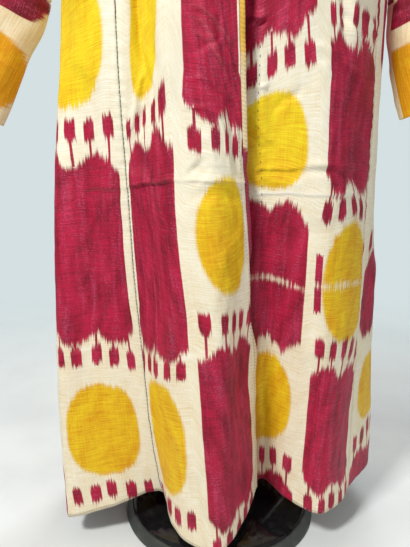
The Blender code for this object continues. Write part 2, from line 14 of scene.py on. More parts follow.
import bmesh
import bpy
import numpy as np
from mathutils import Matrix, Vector

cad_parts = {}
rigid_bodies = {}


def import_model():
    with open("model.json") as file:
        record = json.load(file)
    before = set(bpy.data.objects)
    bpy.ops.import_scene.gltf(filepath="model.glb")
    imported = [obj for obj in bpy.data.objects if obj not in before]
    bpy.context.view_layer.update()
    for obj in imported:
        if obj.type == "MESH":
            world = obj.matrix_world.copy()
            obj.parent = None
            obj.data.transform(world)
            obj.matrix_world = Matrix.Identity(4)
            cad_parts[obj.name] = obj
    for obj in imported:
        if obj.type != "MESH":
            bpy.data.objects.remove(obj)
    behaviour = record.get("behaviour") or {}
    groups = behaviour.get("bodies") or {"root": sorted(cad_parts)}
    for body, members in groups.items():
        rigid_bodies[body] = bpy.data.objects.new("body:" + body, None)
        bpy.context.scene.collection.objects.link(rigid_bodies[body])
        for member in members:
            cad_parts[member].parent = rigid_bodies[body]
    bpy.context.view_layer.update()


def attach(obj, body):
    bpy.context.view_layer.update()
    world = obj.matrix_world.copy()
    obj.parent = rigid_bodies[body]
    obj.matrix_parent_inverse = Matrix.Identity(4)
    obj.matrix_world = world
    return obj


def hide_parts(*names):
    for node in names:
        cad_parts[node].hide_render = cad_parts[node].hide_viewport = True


for old in list(bpy.data.objects):
    bpy.data.objects.remove(old)
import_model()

# %% [markdown]
# ## The skin of the robe
# All the panels of the body lie on one closed curve around the form at each height.
# The curve goes through named stations: the hem gives how far each fold swings out,
# and the waist how close the cloth lies to the body. A fold fades on its way up. With
# a shared skin, neighbouring panels meet exactly, whatever folds are added later.

# %% Sizes of the robe
CLOTH = 0.0014
SEAM = 0.0003
HEM_Z = 0.066
WAIST_Z = 0.90
ARMPIT_Z = 0.975
TIP_Z = 1.235
NECK_Z = 1.300
FOLD_ROUND = 1.5
CHEST_TAPER = 0.03
TIP_X = 0.200
NECK_X = 0.075
SHOULDER_Y = 0.005
NECK_BACK_Y = 0.075
NECK_DROP = 0.012
CHEST_FRONT = 0.136
CHEST_BACK = 0.122
CHEST_HALF_WIDTH = 0.270
SHOULDER_FULLNESS = 0.25
LIFT = 0.0055
LIFT_FROM = 2.2
LIFT_TO = 4.6
CROSSING = 0.42
YOKE_LIFT = 0.35
ARMPIT_FOLD = 0.005
FOLD_CLIMB = ARMPIT_FOLD * math.pi / 2 / (TIP_Z - ARMPIT_Z)
print("length of the robe: %.3f m" % (NECK_Z - HEM_Z))

# %% Stations of the skin
SKIN = [  # station, hem x, hem y, hem z, waist x, waist y, how far up its fold lasts
    ("side crease right", -0.253, -0.098, 0.045, -0.231, -0.022, 3.0),
    ("gore front right", -0.187, -0.090, 0.057, -0.197, -0.086, 1.6),
    ("front seam right", -0.097, -0.085, 0.080, -0.144, -0.118, 0.75),
    ("pleat hollow right", -0.079, -0.132, 0.063, -0.108, -0.116, 1.0),
    ("over front shoulder", -0.048, -0.165, 0.051, -0.084, -0.141, 1.4),
    ("over front ridge", -0.009, -0.177, 0.048, -0.035, -0.150, 1.7),
    ("over front flank", 0.034, -0.120, 0.062, 0.005, -0.147, 1.5),
    ("front notch", 0.073, -0.052, 0.086, 0.052, -0.134, 1.2),
    ("under front flank", 0.108, -0.092, 0.078, 0.092, -0.137, 1.4),
    ("under front lobe", 0.160, -0.114, 0.061, 0.138, -0.129, 1.6),
    ("pleat hollow left", 0.199, -0.084, 0.060, 0.176, -0.104, 1.5),
    ("front seam left", 0.225, -0.046, 0.062, 0.224, -0.045, 0.9),
    ("side left", 0.288, 0.058, 0.066, 0.226, 0.006, 1.6),
    ("gore back left", 0.262, 0.126, 0.066, 0.204, 0.066, 1.8),
    ("back seam left", 0.202, 0.140, 0.070, 0.158, 0.104, 1.2),
    ("back lobe left", 0.128, 0.204, 0.061, 0.106, 0.128, 1.8),
    ("back valley left", 0.052, 0.156, 0.072, 0.052, 0.130, 1.3),
    ("back lobe middle", -0.008, 0.208, 0.059, -0.002, 0.137, 1.9),
    ("back valley right", -0.074, 0.150, 0.073, -0.058, 0.130, 1.2),
    ("back lobe right", -0.134, 0.196, 0.060, -0.110, 0.126, 1.7),
    ("back seam right", -0.200, 0.128, 0.071, -0.158, 0.103, 1.1),
    ("gore back right", -0.250, 0.092, 0.062, -0.205, 0.064, 1.6),
    ("side right", -0.257, -0.008, 0.052, -0.231, 0.014, 2.6),
]
OVER_EDGE = [  # height, station that the edge of the upper front passes there
    (0.066, 6.60), (0.250, 6.48), (0.420, 6.42), (0.530, 6.28), (0.700, 6.17), (0.975, 6.15),
]
UNDER_EDGE = [(0.066, 5.50), (0.975, 4.90)]
print("stations:", len(SKIN))


# %% Smooth curves through the stations
def through(knots, values, at, closed=0.0):
    """Reads a smooth curve through the values, closed over a period or open."""
    knots = np.asarray(knots, float)
    values = np.asarray(values, float)
    at = np.asarray(at, float)
    if closed:
        at = np.mod(at - knots[0], closed) + knots[0]
        knots = np.concatenate([[knots[-1] - closed], knots, knots[:2] + closed])
        values = np.concatenate([values[-1:], values, values[:2]])
    steps = np.diff(knots)[:, None]
    slopes = np.diff(values, axis=0) / steps
    middle = slopes[:-1] * steps[1:] + slopes[1:] * steps[:-1]
    middle = middle / (steps[:-1] + steps[1:])
    tangents = np.concatenate([slopes[:1], middle, slopes[-1:]])
    low = np.clip(np.searchsorted(knots, at, side="right") - 1, 0, len(knots) - 2)
    step = steps[low]
    t = ((at - knots[low])[:, None]) / step
    rise = t * t * (3 - 2 * t)
    start = values[low] * (1 - rise) + values[low + 1] * rise
    bend = tangents[low] * t * (1 - t) ** 2 - tangents[low + 1] * t * t * (1 - t)
    return start + bend * step


def ease(share):
    """A soft step from 0 to 1."""
    share = np.clip(share, 0.0, 1.0)
    return share * share * (3 - 2 * share)


def unit(vectors):
    """The same directions, each 1 long."""
    return vectors / np.maximum(np.linalg.norm(vectors, axis=-1, keepdims=True), 1e-12)


STATION_NAMES = [row[0] for row in SKIN]
HEM_CURVE = np.array([row[1:4] for row in SKIN])
WAIST_CURVE = np.array([row[4:7] for row in SKIN])
CHORDS = np.linalg.norm(np.diff(np.vstack([HEM_CURVE, HEM_CURVE[:1]])[:, :2], axis=0), axis=1)
PLACES = np.concatenate([[0.0], np.cumsum(CHORDS)])
AROUND = PLACES[-1]
print("hem, by its stations: %.2f m" % AROUND)


def place(station):
    """Metres round the hem to a station, which may lie between two of them."""
    return np.interp(station, np.arange(len(PLACES)), PLACES)


def named(station):
    """Metres round the hem to a station, by its name."""
    return PLACES[STATION_NAMES.index(station)]


def skin(at, height):
    """The outer surface of the skirt at a place around and a height."""
    height = np.broadcast_to(height, np.shape(at)).astype(float)
    hem = through(PLACES[:-1], HEM_CURVE, at, AROUND)
    waist = through(PLACES[:-1], WAIST_CURVE, at, AROUND)
    rise = np.clip((height - HEM_Z) / (WAIST_Z - HEM_Z), 0.0, 1.0)
    hang = (1 - rise ** waist[:, 2]) ** FOLD_ROUND
    above = np.clip((height - WAIST_Z) / (ARMPIT_Z - WAIST_Z), 0.0, 1.0)
    taper = 1 - CHEST_TAPER * ease(above)
    flat = (waist[:, :2] + (hem[:, :2] - waist[:, :2]) * hang[:, None]) * taper[:, None]
    lifted = height + (hem[:, 2] - HEM_Z) * (1 - rise) ** 2
    return np.column_stack([flat, lifted])


# %% [markdown]
# ## Fronts, backs and gores
# A front or a half of the back runs from its hem to the shoulder line, and a gore from
# the hem to the armpit. Each is a function of two numbers: u goes across the piece, and
# v goes from 0 at the hem to 1 at the armpit and on to 2 at the shoulder. Planes pulled
# into shape by hand would not meet at the seams, but two formulas that share a line do.

# %% Hem, shoulder and neck lines
def skirt_height(v):
    """The height at a share up the skirt."""
    return HEM_Z + (ARMPIT_Z - HEM_Z) * np.clip(v, 0.0, 1.0)


def shoulder_z(x):
    """The height of the sloping shoulder line."""
    slope = (NECK_Z - TIP_Z) / (TIP_X - NECK_X)
    return NECK_Z - slope * (np.abs(x) - NECK_X)


def front_top(x):
    """The line that a front hangs from."""
    return SHOULDER_Y + 0 * x, shoulder_z(x)


def back_top(x):
    """The shoulder line, then the scoop round the back of the neck."""
    inside = np.clip(1 - (x / NECK_X) ** 2, 0.0, 1.0)
    y = SHOULDER_Y + (NECK_BACK_Y - SHOULDER_Y) * inside**0.7
    z = np.where(np.abs(x) > NECK_X, shoulder_z(x), NECK_Z - NECK_DROP * inside)
    return y, z


# %% One class for every body piece
CHEST_ROUND = 2.5
NORMAL_STEP = 0.0015


class Panel:
    """A piece of the body, from the place where it starts to the place where it ends.

    way is 1 where u runs round the body as the stations do, and -1 where it runs back.
    side is the side of a piece that has a yoke, and 0 for a gore. neck_x, depth and top
    shape the yoke, and lifted is true for the front that lies over the other one.
    """

    def __init__(self, start, end, way, side=0, neck_x=0.0, depth=0.0, top=None, lifted=False):
        self.start = start
        self.end = end
        self.way = way
        self.side = side
        self.neck_x = neck_x
        self.depth = depth
        self.top = top
        self.lifted = lifted

    def where(self, u, v):
        """The place around the body."""
        height = skirt_height(v)
        return self.start(height) + (self.end(height) - self.start(height)) * u

    def flat(self, u, v):
        """The surface before one front is lifted over the other."""
        return self.yoked(u, v) if self.side else self.turned_out(u, v)

    def yoked(self, u, v):
        """A front or back, which narrows to the shoulder line above the armpit."""
        height = skirt_height(v)
        low = skin(self.where(u, v), height)
        seam_x = skin(self.start(height), height)[:, 0]
        edge_x = skin(self.end(height), height)[:, 0]
        share = (low[:, 0] - seam_x) / (edge_x - seam_x)
        turn = np.clip(v - 1, 0.0, 1.5) * math.pi / 2
        climb = np.sin(turn)
        beyond = (climb - FOLD_CLIMB) / (1 - FOLD_CLIMB)
        arm_x = seam_x + (self.side * TIP_X - seam_x) * ease(beyond)
        edge_x = edge_x + (self.neck_x - edge_x) * np.abs(climb) ** 1.3
        x = arm_x + (edge_x - arm_x) * share
        chest = self.depth * (1 - np.abs(x / CHEST_HALF_WIDTH) ** CHEST_ROUND)
        y = low[:, 1] + (chest - low[:, 1]) * ease(2 * climb)
        top_y, top_z = self.top(x)
        out = np.cos(turn) * (1 + SHOULDER_FULLNESS * climb**2)
        z = ARMPIT_Z + (top_z - ARMPIT_Z) * climb
        yoke = np.column_stack([x, top_y + (y - top_y) * out, z])
        return np.where((v > 1)[:, None], yoke, low)

    def turned_out(self, u, v):
        """A gore, whose top edge turns outward into the fold under the arm."""
        here = self.where(u, v)
        points = skin(here, skirt_height(v))
        top = np.full(len(here), ARMPIT_Z)
        along = (skin(here + 0.001, top) - skin(here - 0.001, top))[:, :2]
        outward = unit(np.column_stack([along[:, 1], -along[:, 0]]))
        middle = np.sqrt(np.sin(math.pi * np.clip(u, 0.0, 1.0)))
        run = np.clip(v - 1, 0.0, 1.2) * math.pi / 2
        turn = run * middle
        points[:, :2] += outward * (ARMPIT_FOLD * (1 - np.cos(turn)))[:, None]
        points[:, 2] += ARMPIT_FOLD * (np.sin(turn) + run - turn)
        return points

    def outer(self, u, v):
        """Points on the outside of the piece."""
        u, v = np.broadcast_arrays(np.asarray(u, float), np.asarray(v, float))
        points = self.flat(u, v)
        if not self.lifted:
            return points
        across = self.flat(u + NORMAL_STEP, v) - self.flat(u - NORMAL_STEP, v)
        below = np.maximum(v - NORMAL_STEP, 0.0)
        upward = self.flat(u, v + NORMAL_STEP) - self.flat(u, below)
        normal = unit(np.cross(across, upward) * self.way)
        share = (self.where(u, v) - place(LIFT_FROM)) / (place(LIFT_TO) - place(LIFT_FROM))
        climb = np.sin(np.clip(v - 1, 0.0, 1.0) * math.pi / 2)
        higher = LIFT * (1 + YOKE_LIFT * ease(climb / (CROSSING / 2)))
        lift = higher * ease(share) * (1 - ease((climb - CROSSING) / (1 - CROSSING)))
        return points + normal * lift[:, None]


# %% The six body pieces
def path(rows):
    """A front edge, whose station changes with height."""
    heights = [row[0] for row in rows]
    stations = [row[1] for row in rows]
    return lambda height: place(np.interp(height, heights, stations))


def fixed(station, turns=0):
    """A seam that stays at one named station."""
    where = named(station) + turns * AROUND
    return lambda height: where + 0 * height


PANELS = {
    "front_right": Panel(
        fixed("front seam right"), path(OVER_EDGE), 1, -1, -NECK_X, -CHEST_FRONT, front_top, True
    ),
    "front_left": Panel(
        fixed("front seam left"), path(UNDER_EDGE), -1, 1, NECK_X, -CHEST_FRONT, front_top
    ),
    "back_left": Panel(
        fixed("back seam left"), fixed("back lobe middle"), 1, 1, 0.0, CHEST_BACK, back_top
    ),
    "back_right": Panel(
        fixed("back seam right"), fixed("back lobe middle"), -1, -1, 0.0, CHEST_BACK, back_top
    ),
    "gore_left": Panel(fixed("front seam left"), fixed("back seam left"), 1),
    "gore_right": Panel(fixed("front seam right", 1), fixed("back seam right"), -1),
}
print("panels:", ", ".join(PANELS))

# %% [markdown]
# ## Creases
# Thin ribbed cloth keeps the marks of how it was stored: sharp level lines where it was
# folded, a pinch where a seam pulls, soft slanting drags between them. A cloth
# simulation gives soft even folds and misses those marks, so each crease is listed as
# a line on the skin. Both fronts read the same table, so a crease goes through
# the overlap. Quiet ripples between the creases come from a few waves with fixed seeds.

# %% The table of sharp creases
SHARP_CREASES = [  # station, height, station, height, half width, depth, kind, paled colour: rubbed wear, and painted sheen on the chest wrinkles
    (1.90, 0.590, 4.40, 0.609, 0.0028, 0.0046, "ledge", 0.1),
    (4.05, 0.608, 6.45, 0.600, 0.0026, 0.0034, "ledge", 0.3),
    (6.20, 0.611, 8.40, 0.619, 0.0026, 0.0034, "ledge", 0.0),
    (8.10, 0.619, 10.7, 0.616, 0.0050, 0.0022, "pinch", 0.0),
    (6.20, 0.578, 11.0, 0.586, 0.0024, 0.0022, "ledge", 1.0),
    (2.88, 0.930, 3.03, 0.735, 0.0075, 0.0062, "pinch", 0.0),
    (9.42, 0.930, 9.80, 0.755, 0.0070, 0.0060, "pinch", 0.0),
    (6.30, 0.807, 7.05, 0.808, 0.0040, 0.0050, "pinch", 0.0),
    (-0.2, 0.352, 0.95, 0.347, 0.003, 0.0010, "press", 0.7),
    (3.90, 0.364, 5.00, 0.368, 0.003, 0.0014, "press", 1.0),
    # The paled colour of these four chest wrinkles is painted sheen along their crests.
    (4.70, 0.822, 6.10, 0.768, 0.0030, 0.0034, "ledge", 0.18),
    (4.80, 0.790, 5.70, 0.742, 0.0028, 0.0030, "ledge", 0.15),
    (5.10, 0.776, 5.90, 0.724, 0.0028, 0.0026, "ledge", 0.1),
    (4.90, 0.806, 5.50, 0.762, 0.0030, 0.0030, "ledge", 0.2),
    (0.60, 0.585, 1.92, 0.590, 0.0050, 0.0018, "pinch", 0.15),
    (11.9, 0.584, 15.2, 0.572, 0.0040, 0.0018, "press", 0.7),
    (11.9, 0.614, 14.4, 0.604, 0.0050, 0.0022, "pinch", 0.2),
    (14.6, 0.604, 20.2, 0.598, 0.0060, 0.0040, "pinch", 0.4),
    (14.8, 0.574, 20.8, 0.570, 0.0040, 0.0022, "press", 0.7),
    (14.4, 0.360, 17.2, 0.352, 0.004, 0.0014, "press", 0.7),
    (17.6, 0.357, 20.4, 0.364, 0.004, 0.0014, "press", 0.7),
    (20.2, 0.590, 22.8, 0.586, 0.0060, 0.0030, "pinch", 0.3),
]
print("sharp creases:", len(SHARP_CREASES))

# %% The table of soft folds
SOFT_FOLDS = [  # station, height, station, height, half width, depth
    (1.95, 0.603, 3.30, 0.607, 0.012, 0.0030),
    (4.30, 0.588, 6.15, 0.586, 0.010, -0.0030),
    (4.62, 0.626, 5.05, 0.614, 0.012, -0.0045),
    (6.49, 0.990, 6.49, 0.600, 0.0140, -0.0140),
    (6.49, 0.640, 6.60, 0.340, 0.0140, -0.0140),
    (6.26, 0.990, 6.26, 0.600, 0.0085, 0.0046),
    (6.28, 0.640, 6.36, 0.340, 0.0085, 0.0040),
    (6.98, 0.960, 6.98, 0.620, 0.009, 0.0026),
    (6.30, 0.598, 8.60, 0.600, 0.010, 0.0024),
    (2.98, 0.752, 2.12, 0.655, 0.0042, 0.0026),
    (3.02, 0.748, 2.55, 0.650, 0.0040, -0.0026),
    (3.06, 0.742, 2.95, 0.640, 0.0042, 0.0024),
    (3.25, 0.745, 3.60, 0.645, 0.0048, -0.0024),
    (3.60, 0.940, 3.75, 0.700, 0.012, -0.0030),
    (4.18, 0.940, 4.08, 0.690, 0.014, 0.0036),
    (9.20, 0.822, 10.9, 0.770, 0.0045, -0.0028),
    (9.60, 0.840, 11.1, 0.795, 0.0045, 0.0026),
    (8.40, 0.780, 10.4, 0.742, 0.0060, 0.0022),
    (10.5, 0.900, 10.4, 0.700, 0.014, 0.0030),
    (4.75, 0.762, 5.60, 0.788, 0.0038, -0.0016),
    (4.62, 0.737, 5.95, 0.708, 0.0036, 0.0026),
    (4.40, 0.700, 5.60, 0.690, 0.0034, 0.0018),
    (5.45, 0.792, 6.12, 0.744, 0.0030, 0.0028),
    (5.62, 0.715, 6.00, 0.612, 0.0044, -0.0024),
    (5.35, 0.690, 5.74, 0.610, 0.0044, 0.0022),
    (5.92, 0.700, 6.16, 0.606, 0.0040, 0.0024),
    (4.95, 0.672, 5.30, 0.618, 0.0050, 0.0020),
    (0.60, 0.560, 1.90, 0.640, 0.018, 0.0024),
    (0.10, 0.460, 1.60, 0.395, 0.016, -0.0020),
    (-0.1, 0.520, 0.50, 0.300, 0.014, 0.0022),
    (0.30, 0.780, 1.70, 0.730, 0.014, 0.0020),
    (2.60, 0.520, 4.30, 0.560, 0.014, -0.0022),
    (4.90, 0.480, 6.20, 0.545, 0.012, 0.0022),
    (4.40, 0.440, 5.60, 0.400, 0.008, -0.0016),
    (5.00, 0.330, 6.30, 0.270, 0.018, -0.0022),
    (3.60, 0.250, 4.60, 0.180, 0.016, 0.0018),
    (6.50, 0.690, 7.40, 0.650, 0.0044, 0.0026),
    (6.45, 0.668, 7.10, 0.640, 0.0036, -0.0026),
    (6.45, 0.722, 7.20, 0.730, 0.0036, 0.0024),
    (7.60, 0.500, 9.80, 0.555, 0.016, -0.0020),
    (8.20, 0.330, 10.2, 0.400, 0.020, 0.0022),
    (8.60, 0.760, 9.70, 0.700, 0.0060, 0.0024),
    (7.20, 0.690, 8.30, 0.730, 0.0060, -0.0024),
    (9.90, 0.700, 10.9, 0.655, 0.008, -0.0018),
    (11.2, 0.700, 13.4, 0.640, 0.020, -0.0030),
    (11.4, 0.420, 13.0, 0.480, 0.018, 0.0026),
    (12.1, 0.955, 13.6, 0.860, 0.018, 0.0040),
    (14.8, 0.860, 15.6, 0.660, 0.014, -0.0050),
    (15.3, 0.760, 17.1, 0.805, 0.0070, 0.0028),
    (16.0, 0.700, 17.3, 0.665, 0.0060, -0.0024),
    (18.9, 0.900, 18.4, 0.640, 0.014, -0.0055),
    (18.0, 0.790, 19.9, 0.742, 0.0070, 0.0028),
    (18.3, 0.690, 19.6, 0.718, 0.0060, -0.0022),
    (16.1, 0.820, 16.9, 0.560, 0.012, 0.0030),
    (15.2, 0.520, 17.0, 0.460, 0.016, 0.0024),
    (17.4, 0.300, 19.4, 0.380, 0.018, -0.0022),
    (20.6, 0.700, 22.6, 0.800, 0.018, -0.0030),
    (21.2, 0.955, 22.4, 0.850, 0.018, 0.0040),
    (20.8, 0.300, 22.8, 0.240, 0.018, 0.0026),
]
CREASES = SHARP_CREASES + [(*row, "fold", 0.0) for row in SOFT_FOLDS]
YOKE_CREASES = [  # panel, u, v, u, v, half width in u, depth
    ("front_right", 0.05, 1.12, 0.55, 1.02, 0.05, -0.0040),
    ("front_right", 0.10, 1.45, 0.50, 1.20, 0.05, 0.0028),
    ("front_right", 0.55, 1.70, 0.75, 1.15, 0.05, -0.0022),
    ("front_left", 0.05, 1.10, 0.45, 1.02, 0.04, -0.0040),
    ("front_left", 0.10, 1.40, 0.40, 1.18, 0.04, 0.0028),
    ("front_left", 0.50, 1.75, 0.62, 1.20, 0.04, -0.0020),
    ("back_left", 0.05, 1.12, 0.55, 1.03, 0.05, -0.0036),
    ("back_left", 0.15, 1.50, 0.60, 1.25, 0.05, 0.0024),
    ("back_right", 0.05, 1.15, 0.50, 1.04, 0.05, -0.0036),
    ("back_right", 0.12, 1.42, 0.65, 1.30, 0.05, 0.0024),
]
print("creases:", len(CREASES) + len(YOKE_CREASES))


# %% Reading the creases
END_FADE = 0.22
LEDGE_SLOPE = 3.5
PALE_WIDTH = 0.0022
WAVER = 0.0030
FINE_WAVER = 0.0010
FULL_WAVER_WIDTH = 0.006


def crease(along, beside, kind):
    """Height of a crease of depth 1: along is 0 to 1 on its line, beside in half widths.

    A fold is a rounded ridge, a press a sharp one, a pinch has a ridge beside a hollow,
    and a ledge rises at once from below and runs out slowly above.
    """
    fade = ease(along / END_FADE) * ease((1 - along) / END_FADE)
    if kind == "pinch":
        form = beside * np.exp(0.5 - 0.5 * beside**2)
    elif kind == "ledge":
        above = np.exp(-np.abs(beside) / LEDGE_SLOPE)
        form = np.where(beside > 0, above, np.exp(-4 * beside**2))
    elif kind == "press":
        form = np.exp(-1.6 * np.abs(beside))
    else:
        form = np.exp(-(beside**2))
    return form * fade


def line_share(x, y, x0, y0, x1, y1):
    """How far along a line each point lies, and how far above it."""
    run, rise = x1 - x0, y1 - y0
    length = math.hypot(run, rise)
    side = 1.0 if run >= 0 else -1.0
    along = ((x - x0) * run + (y - y0) * rise) / length**2
    above = ((y - y0) * run - (x - x0) * rise) / length * side
    return along, above


def crease_relief(at, height):
    """The sum of the creases, and how much they pale the colour: rubbed wear, and painted sheen on
    the chest wrinkles.
    """
    total = np.zeros(np.shape(at))
    paled = np.zeros(np.shape(at))
    for first, low, last, high, width, depth, kind, colour in CREASES:
        x0 = place(first) if first >= 0 else first * CHORDS[-1]
        x1 = place(last)
        middle = (x0 + x1) / 2
        x = np.mod(at - middle + AROUND / 2, AROUND) - AROUND / 2 + middle
        along, above = line_share(x, height, x0, low, x1, high)
        waver = WAVER * np.sin(8 * along + 3 * low) + FINE_WAVER * np.sin(27 * along)
        waver *= min(1.0, width / FULL_WAVER_WIDTH)
        beside = (above + waver) / width
        total += depth * crease(along, beside, kind)
        paled += colour * crease(along, (above + waver) / PALE_WIDTH, "fold")
    return total, np.clip(paled, 0.0, 1.0)


# %% Quiet ripples
def waves(seed, count, turns, rises, size):
    """Waves that close round the body: turns, radians a metre upward, phase, size."""
    dice = np.random.default_rng(seed)
    table = []
    for _ in range(count):
        table.append(
            (
                dice.integers(turns[0], turns[1]) * dice.choice([-1, 1]),
                dice.uniform(rises[0], rises[1]),
                dice.uniform(0, 2 * math.pi),
                size * dice.uniform(0.5, 1.0),
            )
        )
    return table


SLOW_RIPPLES = waves(4, 10, (6, 18), (6.0, 26.0), 0.00055)
FINE_RIPPLES = waves(9, 22, (24, 90), (20.0, 120.0), 0.00011)


def ripple(at, height):
    total = np.zeros(np.shape(at))
    for turns, rise, phase, size in SLOW_RIPPLES + FINE_RIPPLES:
        total += size * np.sin(2 * math.pi * turns * at / AROUND + rise * height + phase)
    return total


CREASES_END = 0.93
CREASES_FADE = 0.12


def relief(name, panel, u, v):
    """How far the cloth stands off the skin, and how much a crease pales it, as wear and as painted
    sheen.
    """
    at = panel.where(u, v)
    height = HEM_Z + (ARMPIT_Z - HEM_Z) * v
    depth, paled = crease_relief(at, height)
    fading = 1 - ease((v - CREASES_END) / CREASES_FADE)
    quiet = np.where(v > 1, ease(u / 0.15) * (1 - ease((v - 1.8) / 0.2)), 1.0)
    if not panel.side:
        quiet = 1 - ease((v - 0.9) / 0.1)
    total = depth * fading + ripple(at, height) * quiet
    for owner, u0, v0, u1, v1, width, deep in YOKE_CREASES:
        if owner == name:
            along, above = line_share(u, v * 0.6, u0, v0 * 0.6, u1, v1 * 0.6)
            total += deep * crease(along, above / width, "fold") * ease(v - 1.0 + 0.1)
    return total, paled * fading


print("ripples:", len(SLOW_RIPPLES), "slow and", len(FINE_RIPPLES), "fine")

# %% [markdown]
# ## The dyed pattern
# In ikat the warp threads are bound and dyed before weaving. A loom width here carries
# two columns of motifs with bare cream between them. Up each column go long crimson
# blocks and yellow discs, and rows of small tassels hang between them on thin stems.
# The colours end sharply at the sides of a column, where a thread is dyed or is not,
# and raggedly at top and bottom, where the threads have slipped against each other.
#
# An image could hold the pattern, but it would blur when close and could not follow a
# new cut. Here each piece has a short chart of its columns, from the hem up. Points of
# the mesh carry the distance to the nearest end of a motif, which is a straight slope
# and so survives a coarse mesh. The material cuts the crisp shapes from those slopes.

# %% Chart of the fronts and gores
LOOM = 0.325
COLUMN = 0.147
FIRST_COLUMN = 0.008
SECOND_COLUMN = 0.170
CHART = {  # (piece, column): motif, from, to, in metres up the warp
    ("gore_right", 0): [
        ("tassels", 0.006, 0.050), ("disc", 0.062, 0.226), ("tassels", 0.246, 0.292),
        ("block", 0.300, 0.580), ("tassels", 0.597, 0.645), ("disc", 0.655, 0.830),
        ("tassels", 0.845, 0.890), ("block", 0.898, 1.200),
    ],
    ("gore_right", 1): [
        ("block", -0.100, 0.120), ("tassels", 0.128, 0.170), ("disc", 0.182, 0.340),
        ("tassels", 0.352, 0.396), ("block", 0.404, 0.700), ("tassels", 0.708, 0.750),
        ("disc", 0.762, 0.910), ("tassels", 0.920, 0.960),
    ],
    ("front_right", 0): [
        ("tassels", -0.002, 0.046), ("disc", 0.056, 0.250), ("tassels", 0.246, 0.290),
        ("block", 0.293, 0.596), ("tassels", 0.608, 0.654), ("disc", 0.668, 0.860),
        ("tassels", 0.875, 0.920), ("block", 0.928, 1.200), ("tassels", 1.208, 1.256),
    ],
    ("front_right", 1): [
        ("tassels", -0.012, 0.020), ("block", 0.033, 0.319), ("tassels", 0.328, 0.390),
        ("disc", 0.398, 0.566), ("tassels", 0.586, 0.638), ("block", 0.642, 0.935),
        ("tassels", 0.943, 0.990), ("disc", 1.000, 1.160), ("tassels", 1.172, 1.220),
    ],
    ("front_left", 0): [
        ("tassels", -0.006, 0.030), ("block", 0.040, 0.247), ("tassels", 0.252, 0.296),
        ("disc", 0.292, 0.478), ("tassels", 0.476, 0.520), ("block", 0.528, 0.724),
        ("tassels", 0.732, 0.774), ("disc", 0.784, 0.940), ("tassels", 0.952, 1.000),
        ("block", 1.008, 1.300), ("line", 0.3785, 0.3895), ("rails", 0.338, 0.436),
    ],
    ("front_left", 1): [
        ("block", -0.100, 0.035), ("tassels", 0.042, 0.090), ("disc", 0.096, 0.250),
        ("block", 0.270, 0.489), ("disc", 0.510, 0.642), ("tassels", 0.655, 0.701),
        ("block", 0.712, 0.930), ("tassels", 0.938, 0.985), ("disc", 0.995, 1.150),
        ("tassels", 1.160, 1.210), ("line", 0.3695, 0.3805),
    ],
    ("gore_left", 0): [
        ("block", -0.100, 0.051), ("tassels", 0.058, 0.098), ("disc", 0.108, 0.236),
        ("block", 0.275, 0.408), ("tassels", 0.416, 0.458), ("disc", 0.470, 0.620),
        ("tassels", 0.632, 0.676), ("block", 0.684, 1.100),
    ],
    ("gore_left", 1): [
        ("disc", 0.020, 0.170), ("tassels", 0.182, 0.226), ("block", 0.234, 0.460),
        ("tassels", 0.468, 0.510), ("disc", 0.522, 0.670), ("tassels", 0.680, 0.722),
        ("block", 0.730, 1.000),
    ],
}
print("charted columns of the fronts and gores:", len(CHART))

# %% Chart of the backs
BACK_REPEAT = [  # motif, from, to, within one repeat of the backs
    ("block", 0.000, 0.292), ("tassels", 0.300, 0.346), ("disc", 0.358, 0.515),
    ("tassels", 0.527, 0.573),
]
REPEAT = 0.581


def repeated(start, top=1.5):
    """A column that goes on repeating, from one start on its warp."""
    rows = []
    turn = start - REPEAT
    while turn < top:
        rows += [(kind, low + turn, high + turn) for kind, low, high in BACK_REPEAT]
        turn += REPEAT
    return rows


for back, starts in (("back_left", (0.10, -0.19)), ("back_right", (0.085, -0.20))):
    for column in (0, 1):
        CHART[(back, column)] = repeated(starts[column])
print("charted columns:", len(CHART))

# %% [markdown]
# ## Where the threads lie
# On a real robe the columns do not run straight up every piece. A front is cut on a
# slant, pleats take some of it in, and the weight of the cloth pulls the threads out of
# true. The chart could be bent motif by motif, but then a block and the tassels beside
# it would part. So six threads of the loom width, the two sides and the middle of each
# column, are followed up a piece. One table says where they lie across it, and another
# how far they have ridden up. Everything between them is carried along.

